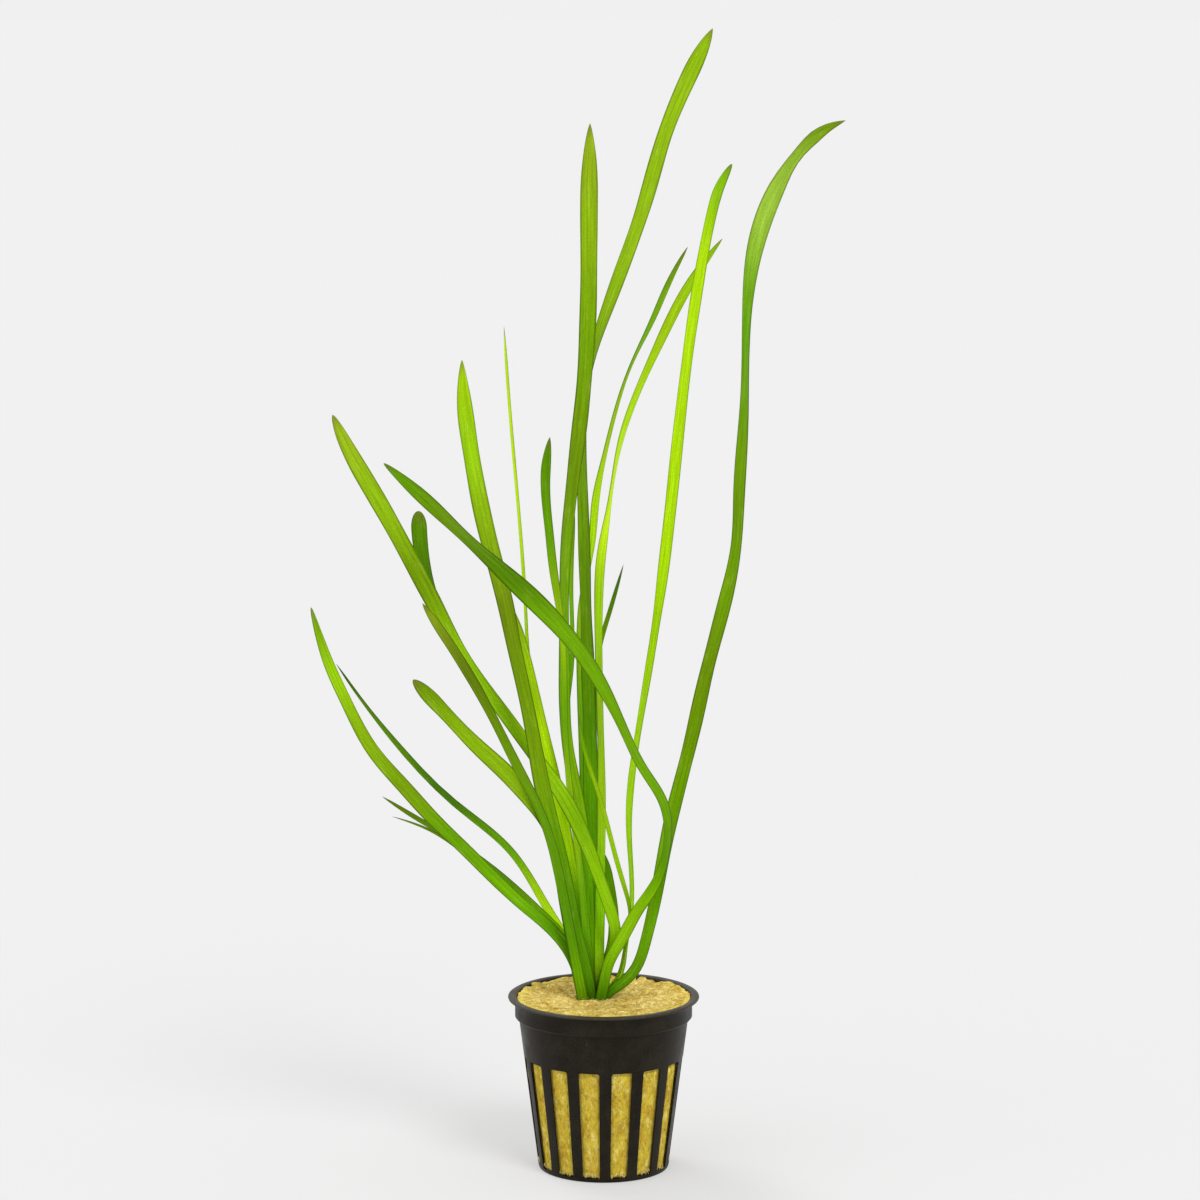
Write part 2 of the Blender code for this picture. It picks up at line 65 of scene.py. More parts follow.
# The pot, as its solid has it, but the slots' corners are a little rounder. Its height and its rim's
# radius come from the solid's own box.
POT_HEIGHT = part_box("net_pot")[1].z / MM
FLANGE_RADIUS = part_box("net_pot")[1].x / MM
BASE_RADIUS = 18.8
BODY_TOP_RADIUS = 24.4
COLLAR_RADIUS = 25.5
COLLAR_HEIGHT = 6.2
STEP_HEIGHT = POT_HEIGHT - COLLAR_HEIGHT
SIDE_SLOTS = 15
SIDE_SLOT_TURN = 1.3
SIDE_SLOT_LOW = 1.2
SIDE_SLOT_HIGH = 33.0
SIDE_SLOT_WIDTH_LOW = 4.9
SIDE_SLOT_WIDTH_HIGH = 6.0
SLOT_CORNER = 0.6
DRAIN_SLOTS = 7
DRAIN_SLOT_INNER = 6.5
DRAIN_SLOT_OUTER = 14.5
DRAIN_SLOT_WIDTH = 1.7
FRONT = math.radians(SIDE_SLOT_TURN - 90)

# Points round the pot: those of one slot's sector, and those of them that span the slot.
SIDE_COLUMNS, SIDE_OPEN = 14, 6
DRAIN_COLUMNS, DRAIN_OPEN = 30, 4

# The wool plug and the crown, as their solids have them, but the plug's top edge is closer to the wall.
WOOL_TOP = 49.9
WOOL_FOOT = 1.2
WOOL_INSET = 1.0
WAVE_HEIGHT = 0.35
EDGE_GAP = 0.55
HOLE_CENTRE = np.array((-3.4, 0.4))
CROWN_RADIUS = 4.8
CROWN_FOOT = 38.2
CROWN_TOP = 49.3

# The leaves stand on the crown in three rows, one behind another in each, as their solids do. Their feet
# are wider than the solids' feet, and together they fill a rounded square.
CLUMP_HALF_WIDTH = 3.9
CLUMP_HALF_DEPTH = 4.25
LEAF_BASE = 49.6
LEAF_BASE_WIDTH = 3.1
LEFT, MIDDLE, RIGHT = -5.9, -3.4, -0.9
PLACE_FIRST = -3.2
PLACE_PITCH = 0.9

# A blade widens over a share of its length, and in the middle row over no more than a fixed length.
GROWING_SHARE = 0.45
MIDDLE_GROWING = 60.0

# Powers that shape a tip.
POINTED = 0.8
ROUNDED = 0.62
BLUNT = 0.5

# Each finish of a leaf has the depth of its veins in millimetres and the share of paler patches.
LEAF_FINISHES = {
    "leaf_deep": (0.12, 0.15),
    "leaf_mid": (0.12, 0.30),
    "leaf_lime": (0.09, 0.25),
    "leaf_yellow": (0.09, 0.30),
    "leaf_olive": (0.14, 0.10),
}

# Each leaf has its name, full width, tip length, tip shape, row, place in the row from the front, first
# turn, finish and the tones along it from base to tip. Its route follows: x, y, z and the blade's turn in
# degrees, where 0 faces the front.
LEAVES = (
    ("leaf_tall_arching", 5.0, 14, POINTED, MIDDLE, 7, 20, "leaf_mid",
     "root grass grass mid mid moss willow willow willow", (
        (-3.8, 6.5, 68, 25), (-3.6, 9.5, 91, 30), (-3.8, 12, 124, 35), (-5, 13, 165, 48),
        (-5.8, 13.5, 193, 48), (-4.5, 15, 228.1, 60), (0.8, 17.5, 245.4, 52), (6.8, 21, 261.6, 40),
        (11.8, 25, 275.9, 35), (17.6, 29, 295.5, 28), (24.9, 33, 312.7, 22), (31.2, 35, 325.5, 15))),
    ("leaf_tall_upright", 5.4, 20, POINTED, MIDDLE, 4, -20, "leaf_mid",
     "shade grass mid grass mid moss mid willow straw", (
        (-4.3, 1, 69.5, -30), (-5.4, 1.4, 90, -40), (-8, 2, 108.5, -45), (-10.6, 2.3, 124, -53),
        (-11.4, 2.4, 147.5, -55), (-11.4, 2, 168, -60), (-10.2, 1, 188, -52), (-6.4, -1.5, 220, -38),
        (-4.4, -4, 251, -28), (-4.2, -6, 279, -25), (-3.8, -7.5, 300, -30))),
    ("leaf_outer_right", 5.4, 28, POINTED, RIGHT, 1, 0, "leaf_mid",
     "root deep mid moss mid mid grass pale moss", (
        (2, -2.6, 52.2, 5), (5.3, -3, 54.7, 5), (8.7, -3.6, 58.4, 8), (12, -4.8, 67.2, 12),
        (14.7, -6.4, 79.5, 15), (18.4, -8.8, 100, 25), (24.9, -11.5, 127.4, 42), (29.1, -12.9, 146.7, 46),
        (33.8, -14, 165.5, 49), (37.1, -14.6, 181.9, 56), (38, -15, 198.5, 55), (39.2, -15, 220, 62),
        (39.9, -14.3, 247, 66), (42.4, -14.3, 267.5, 30), (48.2, -17, 283.4, 36), (56.2, -21, 295.2, 35),
        (60.7, -23, 299, 0), (66, -25, 301.4, 35))),
    ("leaf_crossing_front", 6.2, 34, ROUNDED, RIGHT, 0, 0, "leaf_deep",
     "shade mid deep fresh fresh fresh deep mid grass", (
        (0, -3.7, 54.4, 0), (1.6, -5, 61.3, 5), (5.1, -6.5, 68.3, 12), (10, -8.7, 77.5, 42),
        (15.2, -10.9, 86, 58), (17.4, -12.3, 92.7, 66), (18.4, -14, 100.4, 64), (16.9, -16.3, 110.4, 60),
        (11.5, -18.8, 120.1, 62), (5.2, -22.2, 133.5, 59), (-5.4, -27.5, 153.7, 40),
        (-22, -34.5, 173.4, 25), (-38.9, -41, 190.2, 53), (-50.1, -45, 201.4, 35), (-59.6, -48, 210, 35))),
    ("leaf_yellow_right", 3.6, 20, POINTED, RIGHT, 4, -15, "leaf_yellow",
     "willow fresh willow willow lime glow_tone bright lemon lime", (
        (-1.2, 1.2, 57, -20), (-1.2, 2.6, 74, -25), (-0.8, 3.6, 96, -42), (-0.8, 4.6, 117, -52),
        (-1.4, 5.8, 141, -58), (-1.6, 6.6, 160, -48), (-0.9, 7, 176, -42), (1.5, 7.5, 192, -70),
        (4.7, 8, 210, -66), (8.6, 8.4, 221.7, -58), (15, 9, 236.2, -42), (25.9, 10, 256.8, -35),
        (33.6, 11, 267, -35))),
    ("leaf_short_upright", 3.2, 11, POINTED, MIDDLE, 3, 15, "leaf_deep",
     "root grass lemon fresh lemon grass deep", (
        (-4.9, -1.3, 70, 40), (-6.9, -1.9, 90.5, 50), (-9.4, -2.5, 110.5, 55), (-11, -3.7, 137, 58),
        (-11.6, -5, 157, 55), (-14.1, -6.8, 175.4, 45), (-15.2, -8.4, 186, 40), (-16.2, -12, 202, 32),
        (-15, -14.5, 213.4, 25))),
    ("leaf_short_spike", 1.5, 16, POINTED, RIGHT, 7, 10, "leaf_deep",
     "deep moss moss lemon mid root", (
        (-0.8, 6.3, 68.5, 20), (-0.8, 9.2, 90, 30), (-0.9, 11.3, 120, 35), (-1, 12.3, 150.4, 30),
        (1.3, 12.9, 158.5, 30), (5.7, 14, 173.6, 30))),
    ("leaf_long_right", 4.0, 11, ROUNDED, RIGHT, 5, 40, "leaf_lime",
     "lemon bright bright bright bright bright bright bright fresh", (
        (2.6, 1.5, 53, 62), (5.2, 1.9, 56.7, 74), (6.5, 2.4, 63.7, 77), (8, 3.2, 74.3, 72),
        (7.4, 4, 98, 64), (8.1, 4, 112.5, 62), (11.5, 3, 135.7, 64), (16, 1, 165.5, 48),
        (18.6, -1, 188, 35), (22.8, -5, 228.5, 43), (26.3, -7, 254.5, 40), (30.1, -9.5, 275.2, 45),
        (32.1, -10.7, 282.3, 49), (35.4, -12, 289, 45))),
    ("leaf_thin_arching", 2.8, 16, POINTED, MIDDLE, 8, -10, "leaf_mid",
     "root shade grass fresh lime bright lemon fresh moss", (
        (-4, 8.5, 67.5, -25), (-5.4, 14, 96, -45), (-6.4, 17, 120, -50), (-7, 19, 148, -50),
        (-6.5, 20.2, 161, -52), (-3.4, 21, 179.5, -48), (-2.4, 21.6, 191, -36), (-0.2, 22.4, 202.5, -58),
        (3.7, 23.5, 218, -70), (7.9, 24.5, 230.1, -70), (13.9, 26, 242.7, -58), (18.7, 27.7, 253.5, -52),
        (24.2, 29.5, 263.5, -50))),
    ("leaf_stub_right", 3.6, 8, POINTED, RIGHT, 6, 5, "leaf_deep",
     "root deep deep deep shade", (
        (0.6, 3, 57.5, 20), (2.3, 3.7, 63.4, 30), (3, 4.4, 71, 30), (2, 5, 79, 20),
        (-0.7, 5.6, 92, 10))),
    ("leaf_thin_bowed", 1.7, 18, POINTED, RIGHT, 3, 10, "leaf_lime",
     "moss mid lime lemon grass", (
        (1.6, -0.6, 52.3, 60), (4.1, -0.7, 56.2, 70), (6.1, -1, 64.4, 72), (7.6, -1.5, 74.4, 64),
        (5.9, -2.2, 83, 40), (3.8, -2.8, 90.4, 35), (-2, -4.6, 112.4, 45), (-5.7, -5.6, 124.6, 45),
        (-6.9, -6.2, 133.4, 45))),
    ("leaf_hair_thin", 1.2, 14, POINTED, LEFT, 7, 10, "leaf_mid",
     "shade shade straw lemon bright glow_tone glow_tone glow_tone", (
        (-8.5, 5.5, 64, 30), (-13.4, 11.3, 93.5, 40), (-17, 14.3, 121, 40), (-21.3, 16.2, 143.5, 40),
        (-22.5, 17.5, 161, 40), (-25, 20.5, 195, 42), (-27.2, 22.5, 221, 50), (-28.6, 25, 241, 50))),
    ("leaf_broad_left", 5.4, 20, POINTED, MIDDLE, 1, 0, "leaf_lime",
     "root shade deep moss moss olive willow lime lemon", (
        (-5, -3.7, 59, -15), (-7.5, -5, 69, -18), (-12.2, -7.8, 90.5, -22), (-17.7, -10.8, 114.5, -38),
        (-21.7, -12.8, 137.1, -46), (-25.8, -13.8, 156.6, -44), (-27.3, -14.2, 164.6, -36),
        (-32.6, -15, 186, -30), (-37.4, -17.4, 212, -32), (-38.9, -18.7, 225, -36),
        (-39.2, -20, 235.5, -35))),
    ("leaf_long_left", 5.3, 18, ROUNDED, RIGHT, 2, -5, "leaf_lime",
     "root mid mid lime lime moss willow straw", (
        (0.4, -2, 57.4, -15), (2.4, -2.6, 63.7, -22), (3.3, -3, 68.8, -25), (1.6, -3.6, 77, -25),
        (-2.3, -4.3, 88.6, -22), (-7, -5, 100.6, -24), (-13.7, -5.9, 113, -38), (-19.2, -6.2, 120.8, -50),
        (-26.9, -6.4, 131.6, -55), (-41, -5.7, 152.1, -56), (-47.8, -5, 164.6, -38),
        (-64.3, -3.8, 195.3, -30), (-73.2, -3.2, 211.4, -32), (-76.2, -3, 218.4, -35))),
    ("leaf_yellow_left", 3.8, 12, POINTED, MIDDLE, 6, -5, "leaf_yellow",
     "root grass glow_tone glow_tone lemon moss", (
        (-5.7, 4.4, 69, -15), (-8.7, 5.4, 84, -12), (-13.6, 5, 110, -25), (-19.1, 4.6, 133.9, -40),
        (-22.8, 4.6, 149.4, -38), (-27.3, 5, 164.5, -35))),
    ("leaf_blunt_behind", 4.6, 5, BLUNT, LEFT, 6, 5, "leaf_deep",
     "root shade deep grass fresh shade deep", (
        (-7.6, 4.2, 62, 25), (-11, 6, 76, 50), (-15.2, 7.7, 94, 62), (-24.6, 9.4, 116, 68),
        (-40.4, 11, 147.6, 66), (-48.4, 12, 165, 56), (-52, 12.9, 177, 22), (-53, 13.7, 189, 0))),
    ("leaf_olive_left", 4.0, 13, POINTED, LEFT, 0, 5, "leaf_olive",
     "deep shade deep mid olive straw", (
        (-7.7, -5.2, 60.4, 20), (-11.3, -9.3, 81.5, 35), (-17, -12.8, 104.8, 45), (-23.3, -15.2, 118.6, 44),
        (-33.8, -19, 140.5, 43), (-43.5, -23.2, 157.7, 38), (-50.3, -26, 168.3, 30))),
    ("leaf_blunt_left", 5.2, 10, ROUNDED, LEFT, 1, -5, "leaf_mid",
     "moss shade willow willow willow moss", (
        (-8, -3.4, 60, -20), (-11.7, -5.5, 82.8, -45), (-17.2, -7.3, 103.5, -50), (-20.8, -8, 108.8, -45),
        (-27.4, -9.2, 116.8, -32), (-36, -10.6, 125.2, -41), (-45.7, -12.5, 135.9, -51),
        (-53.6, -14.3, 144.8, -25))),
    ("leaf_far_left", 4.3, 26, ROUNDED, LEFT, 2, -5, "leaf_lime",
     "deep shade deep deep moss willow lime mid", (
        (-7.2, -2, 56.6, -15), (-10.5, -2.7, 64.8, -15), (-14.4, -3.3, 69.9, -25), (-23, -4.2, 77.7, -33),
        (-40.5, -5.6, 95.2, -42), (-48.8, -6.2, 103.6, -30), (-57.1, -6.8, 113.1, -33),
        (-65.1, -7.5, 122.7, -40), (-73.2, -8.7, 138.2, -49), (-77.6, -9.4, 148.4, -52),
        (-82.3, -10.6, 164.9, -50))),
    ("leaf_low_strip", 2.8, 24, POINTED, LEFT, 4, 5, "leaf_deep",
     "shade fresh deep deep olive", (
        (-7.3, 1, 58, 15), (-10.2, 1.6, 65.4, 20), (-16.9, 2.3, 73.2, 30), (-33.6, 3.8, 88.4, 50),
        (-44.3, 4.9, 95.7, 55), (-55.4, 6.2, 102.1, 40), (-63.7, 7.4, 107.1, 30))),
    ("leaf_tiny_low", 1.1, 14, POINTED, LEFT, 3, 0, "leaf_olive",
     "shade root deep olive mid", (
        (-7.2, -0.6, 57, 10), (-10.6, -0.8, 64.3, 20), (-15.5, -1, 69.8, 30), (-29.7, -1, 83.4, 35),
        (-42.3, -1, 94.2, 35), (-48.8, -0.9, 98.5, 40), (-60.6, 0, 102.8, 40))),
    ("leaf_low_dark", 3.0, 60, ROUNDED, LEFT, 5, 5, "leaf_mid",
     "deep glow_tone grass shade deep root", (
        (-7.4, 2.3, 59, 15), (-10.4, 3.4, 65.4, 20), (-16.6, 5.3, 75.6, 30), (-26.6, 8.5, 90.8, 38),
        (-42.8, 12.3, 104.1, 38), (-58.7, 16.5, 119.6, 45), (-71.9, 20, 135.7, 50),
        (-77.4, 21.5, 143.4, 50))),
    ("leaf_thin_upright", 1.7, 8, POINTED, MIDDLE, 5, 5, "leaf_lime",
     "root shade moss grass fresh mid", (
        (-4.5, 2.7, 69, 30), (-7, 4.6, 103.5, 45), (-10.5, 6.4, 129.5, 48), (-9, 7.5, 147, 42),
        (-9.2, 8.2, 165, 45), (-8.4, 9, 190, 45))),
)


# Helpers for arrays and meshes.


def in_mm(length):
    """A property's length, which is in metres, in millimetres."""
    return length / MM


def smooth(share):
    """The smooth step: 0 below 0, 1 above 1, and 3s^2 - 2s^3 between."""
    share = np.clip(share, 0, 1)
    return share * share * (3 - 2 * share)


def round_axis(radius, angle, height):
    """Points at a distance from the pot's axis, at an angle round it and at a height."""
    radius, angle, height = np.broadcast_arrays(radius, angle, height)
    return np.stack((radius * np.cos(angle), radius * np.sin(angle), height), -1)


def backness(angle):
    """How far an angle round the pot is towards the back: 0 in front, 1 behind, smooth between."""
    return smooth((np.sin(angle) + 0.15) / 0.7)


def cell_values(cells, seed):
    """A fixed value from -1 to 1 for each cell: the last digits of the sine of its weighted sum."""
    mixed = np.sin(cells @ np.array((12.9898, 78.233, 37.719)) + seed) * 43758.5453
    return 2 * (mixed - np.floor(mixed)) - 1


def lumpy(points, size, seed):
    """Smooth noise from -1 to 1: the values at the corners of a lattice, blended by the smooth step."""
    scaled = np.asarray(points, float) / size
    cell = np.floor(scaled)
    share = smooth(scaled - cell)
    total = np.zeros(scaled.shape[:-1])
    for corner in itertools.product((0, 1), repeat=3):
        weight = np.prod(np.where(corner, share, 1 - share), axis=-1)
        total += weight * cell_values(cell + corner, seed)
    return total


def grid_quads(rows, columns):
    """Corner numbers of the quads of a grid of closed rows, as an array of (row, column, corner)."""
    number = np.arange(rows * columns).reshape(rows, columns)
    right = np.roll(number, -1, axis=1)
    return np.stack((number[:-1], right[:-1], right[1:], number[1:]), axis=-1)


def pole_fan(ring, pole):
    """Triangles from one point to each pair of neighbours in a closed ring of points."""
    return np.stack((ring, np.full_like(ring, pole), np.roll(ring, -1)), axis=-1)


def new_piece(name, points, *face_sets, surface, smooth_angle=40, recalculate=False):
    """A mesh object at the origin, from points in millimetres and arrays of faces.

    Points that no face uses are left out. The numbers of the others are returned with the piece.
    """
    used, renumbered = np.unique(np.concatenate([f.ravel() for f in face_sets]), return_inverse=True)
    faces, first = [], 0
    for face_set in face_sets:
        count = face_set.size
        faces += renumbered[first:first + count].reshape(-1, face_set.shape[-1]).tolist()
        first += count
    mesh = bpy.data.meshes.new(name)
    mesh.from_pydata((np.asarray(points)[used] * MM).tolist(), [], faces)
    if recalculate:
        bm = bmesh.new()
        bm.from_mesh(mesh)
        bmesh.ops.recalc_face_normals(bm, faces=bm.faces)
        bm.to_mesh(mesh)
        bm.free()
    mesh.shade_smooth()
    mesh.set_sharp_from_angle(angle=math.radians(smooth_angle))
    mesh.materials.append(surface)
    piece = bpy.data.objects.new(name, mesh)
    bpy.context.scene.collection.objects.link(piece)
    return piece, used


def closed_shell(name, rings, poles, **finish):
    """A skin over an array of (ring, point, xyz), closed at each end by a fan to that end's pole.

    Its faces point outwards where the points run anticlockwise, seen from the last ring's end.
    """
    rows, columns = rings.shape[:2]
    number = np.arange(rows * columns).reshape(rows, columns)
    return new_piece(
        name,
        np.concatenate((rings.reshape(-1, 3), poles)),
        grid_quads(rows, columns).reshape(-1, 4),
        pole_fan(number[0], number.size)[:, ::-1],
        pole_fan(number[-1], number.size + 1),
        **finish,
    )


def keep_on_points(piece, name, values):
    """Stores one value for each point, or a colour where the values have three columns."""
    values = np.asarray(values, np.float32)
    if values.ndim == 1:
        piece.data.attributes.new(name, "FLOAT", "POINT").data.foreach_set("value", values)
        return
    colours = np.concatenate((values, np.ones((len(values), 1), np.float32)), axis=1)
    attribute = piece.data.attributes.new(name, "FLOAT_COLOR", "POINT")
    attribute.data.foreach_set("color", colours.ravel())


def keep_map(piece, places):
    """Gives the piece a UV map that holds the same place for every corner at a point."""
    corners = np.empty(len(piece.data.loops), np.int32)
    piece.data.loops.foreach_get("vertex_index", corners)
    layer = piece.data.uv_layers.new(name="surface_map")
    layer.data.foreach_set("uv", np.asarray(places, np.float32)[corners].ravel())


def finish_piece(piece, slot, *nodes):
    """Puts the piece on the frame's one body, and in place of its solid where it has one."""
    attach(piece, "root")
    if nodes:
        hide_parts(*nodes)
    return piece


# Materials.


class Surface:
    """A new material and short calls for the nodes that its pattern needs."""

    def __init__(self, name, roughness, specular):
        self.material = bpy.data.materials.new(name)
        self.material.use_nodes = True
        self.tree = self.material.node_tree
        self.shader = self.tree.nodes["Principled BSDF"]
        self.shader.inputs["Roughness"].default_value = roughness
        self.shader.inputs["Specular IOR Level"].default_value = specular

    def link(self, source, target):
        self.tree.links.new(source, target)

    def place(self, kind="Object", scale=(1, 1, 1), turn=(0, 0, 0)):
        """Object coordinates or the piece's own map, scaled and turned."""
        source = self.tree.nodes.new("ShaderNodeTexCoord")
        mapping = self.tree.nodes.new("ShaderNodeMapping")
        mapping.inputs["Scale"].default_value = scale
        mapping.inputs["Rotation"].default_value = turn
        self.link(source.outputs[kind], mapping.inputs["Vector"])
        return mapping.outputs["Vector"]

    def parts(self, place):
        """A place's x, y and z."""
        node = self.tree.nodes.new("ShaderNodeSeparateXYZ")
        self.link(place, node.inputs["Vector"])
        return [node.outputs[axis] for axis in "XYZ"]

    def noise(self, place, scale, detail, roughness):
        """A noise texture's value."""
        texture = self.tree.nodes.new("ShaderNodeTexNoise")
        texture.inputs["Scale"].default_value = scale
        texture.inputs["Detail"].default_value = detail
        texture.inputs["Roughness"].default_value = roughness
        self.link(place, texture.inputs["Vector"])
        return texture.outputs["Fac"]

    def attribute(self, name, output="Color"):
        source = self.tree.nodes.new("ShaderNodeAttribute")
        source.attribute_name = name
        return source.outputs[output]

    def spread(self, value, low, high, new_low=0.0, new_high=1.0):
        """The value moved from one range to another, smoothly and without passing its ends."""
        mapped = self.tree.nodes.new("ShaderNodeMapRange")
        mapped.interpolation_type = "SMOOTHSTEP"
        for socket, number in zip(mapped.inputs[1:5], (low, high, new_low, new_high)):
            socket.default_value = number
        self.link(value, mapped.inputs["Value"])
        return mapped.outputs["Result"]

    def maths(self, operation, first, second=None):
        node = self.tree.nodes.new("ShaderNodeMath")
        node.operation = operation
        for socket, value in zip(node.inputs, (first, second)):
            if isinstance(value, bpy.types.NodeSocket):
                self.link(value, socket)
            elif value is not None:
                socket.default_value = value
        return node.outputs["Value"]

    def mix(self, share, first, second, kind="MIX"):
        """Two colours mixed: a colour is three numbers or another node's output."""
        node = self.tree.nodes.new("ShaderNodeMix")
        node.data_type = "RGBA"
        node.blend_type = kind
        for name, value in (("Factor_Float", share), ("A_Color", first), ("B_Color", second)):
            socket = next(s for s in node.inputs if s.identifier == name)
            if isinstance(value, bpy.types.NodeSocket):
                self.link(value, socket)
            elif isinstance(value, (int, float)):
                socket.default_value = value
            else:
                socket.default_value = (*value[:3], 1.0)
        return next(s for s in node.outputs if s.identifier == "Result_Color")

    def shade(self, colour, amount):
        """A colour made darker or lighter by a value round 1."""
        combine = self.tree.nodes.new("ShaderNodeCombineColor")
        for socket in combine.inputs:
            self.link(amount, socket)
        return self.mix(1.0, colour, combine.outputs["Color"], "MULTIPLY")

    def bump(self, height, distance):
        """Relief of the given depth in metres."""
        node = self.tree.nodes.new("ShaderNodeBump")
        node.inputs["Distance"].default_value = distance
        node.inputs["Strength"].default_value = 1.0
        self.link(height, node.inputs["Height"])
        self.link(node.outputs["Normal"], self.shader.inputs["Normal"])

    def colour(self, output):
        self.link(output, self.shader.inputs["Base Color"])
        return self.material

    def rough(self, output):
        self.link(output, self.shader.inputs["Roughness"])


def leaf_surface(slot, look, vein_depth, patches):
    """A leaf's skin: the tone of its points, with veins along it, painted shade at its edges and paler
    patches.
    """
    made = Surface(slot, 0.42, look.gloss)
    across, _, _ = made.parts(made.place("UV"))
    from_middle = made.maths("ABSOLUTE", made.maths("SUBTRACT", across, 0.5))
    veins = made.noise(made.place("UV", (8, 0.5, 1)), 1.0, 3.0, 0.6)
    fine = made.noise(made.place("UV", (26, 1.6, 1)), 1.0, 1.0, 0.5)
    blotch = made.noise(made.place("UV", (1.6, 1.1, 1)), 1.0, 4.0, 0.6)
    grain = made.noise(made.place(), 2600.0, 1.0, 0.5)
    tone = made.attribute("leaf_tone")
    tone = made.mix(made.spread(blotch, 0.52, 0.78, 0.0, patches), tone, look.patch_colour)
    tone = made.shade(tone, made.spread(veins, 0.28, 0.72, 1 - look.vein_contrast, 1 + look.vein_contrast))
    tone = made.shade(tone, made.spread(fine, 0.3, 0.7, 0.94, 1.06))
    tone = made.shade(tone, made.spread(grain, 0.3, 0.7, 0.92, 1.08))
    tone = made.shade(tone, made.spread(from_middle, 0.0, 0.09, 1.09, 1.0))
    # Painted shade: the tone darkens towards the blade's edges, where its face turns away from the light.
    tone = made.shade(tone, made.spread(from_middle, 0.37, 0.49, 1.0, look.painted_edge_shade))
    made.rough(made.spread(blotch, 0.3, 0.7, 0.36, 0.52))
    made.bump(made.maths("ADD", veins, made.maths("MULTIPLY", fine, 0.4)), vein_depth * MM)
    return made.colour(tone)


def pot_surface(look):
    """Black moulded plastic: faint clouding, fine grain, scuffs, and on the rim dust and a painted highlight.
    """
    made = Surface("pot_plastic", 0.4, look.gloss)
    place = made.place()
    clouds = made.noise(place, 140.0, 4.0, 0.6)
    grain = made.noise(place, 2400.0, 2.0, 0.6)
    scuffs = made.noise(made.place(scale=(1, 1, 0.12)), 900.0, 3.0, 0.7)
    dust = made.noise(place, 700.0, 3.0, 0.7)
    tone = made.mix(made.spread(clouds, 0.35, 0.7), look.colour, look.cloud_colour)
    tone = made.mix(made.spread(scuffs, 0.66, 0.8, 0.0, 0.35), tone, look.dust_and_sheen_colour)
    tone = made.mix(made.spread(dust, 0.70, 0.82, 0.0, 0.5), tone, look.dust_and_sheen_colour)
    height = made.parts(place)[2]
    rim = POT_HEIGHT * MM
    # A lighter band round the rim's top: dust, and a painted highlight where the flange catches grazing
    # light.
    tone = made.mix(made.spread(height, rim - 0.0015, rim - 0.0003, 0.0, 0.42), tone, look.dust_and_sheen_colour)
    tone = made.shade(tone, made.spread(grain, 0.3, 0.7, 0.6, 1.4))
    made.rough(made.spread(clouds, 0.3, 0.7, 0.34, 0.50))
    made.bump(made.maths("ADD", grain, clouds), 0.00004)
    return made.colour(tone)


def wool_surface(look, name="mineral_wool", tone_name=None):
    """Mineral wool: mustard on the side and round the top's edge, khaki on top, with pale and brown spots.

    Loose fibres have a value of their own for each fibre: near 0 brown, near 1 pale, and paler still up to 2.
    """
    made = Surface(name, 0.95, 0.05)
    place = made.place()
    slanted = made.place(scale=(1, 1, 0.5), turn=(0, 0.5, 0))
    x, y, z = made.parts(place)
    clumps = made.noise(place, 230.0, 3.0, 0.6)
    spots = made.noise(slanted, 620.0, 3.0, 0.6)
    strands = made.noise(slanted, 1700.0, 2.0, 0.6)
    grain = made.noise(place, 2600.0, 2.0, 0.6)
    square = made.maths("ADD", made.maths("MULTIPLY", x, x), made.maths("MULTIPLY", y, y))
    inside = made.spread(made.maths("SQRT", square), 0.0195, 0.0245, 1.0, 0.45)
    top = made.maths("MULTIPLY", made.spread(z, 0.040, 0.048), inside)
    tone = made.mix(top, look.side_colour, look.top_colour)
    tone = made.mix(made.spread(clumps, 0.42, 0.70, 0.0, 0.75), tone, look.brown_colour)
    tone = made.mix(made.spread(spots, 0.48, 0.28, 0.0, 0.7), tone, look.brown_colour)
    tone = made.mix(made.spread(spots, 0.5, 0.74, 0.0, 0.45), tone, look.pale_colour)
    tone = made.shade(tone, made.spread(strands, 0.3, 0.7, 0.9, 1.08))
    tone = made.shade(tone, made.spread(grain, 0.3, 0.7, 0.88, 1.08))
    if tone_name:
        own = made.attribute(tone_name, "Fac")
        tone = made.mix(made.spread(own, 0.6, 1.0, 0.0, 0.22), tone, look.pale_colour)
        tone = made.mix(made.spread(own, 0.4, 0.0, 0.0, 0.3), tone, look.brown_colour)
        tone = made.mix(made.spread(own, 1.0, 2.0, 0.0, 0.7), tone, look.pale_colour)
    made.bump(made.maths("ADD", spots, grain), 0.0002)
    return made.colour(tone)


def crown_surface(look):
    """The crown's pale green stem, streaked upwards."""
    made = Surface("crown_stem", 0.45, 0.2)
    streaks = made.noise(made.place(scale=(1, 1, 0.15)), 1400.0, 3.0, 0.6)
    tone = made.mix(made.spread(streaks, 0.3, 0.7), look.crown_dark, look.crown_pale)
    made.bump(streaks, 0.0001)
    return made.colour(tone)


def floor_surface(look):
    """A pale, even floor: part of its light is its own, so that shadows on it stay faint."""
    made = Surface("pale_floor", 0.9, 0.0)
    mottle = made.noise(made.place(), 6.0, 2.0, 0.5)
    duller = [part * 0.998 for part in look.floor_colour]
    tone = made.mix(made.spread(mottle, 0.2, 0.8), look.floor_colour, duller)
    made.shader.inputs["Emission Color"].default_value = (1.0, 1.0, 1.0, 1.0)
    made.shader.inputs["Emission Strength"].default_value = look.floor_light
    return made.colour(tone)


# Shapes.


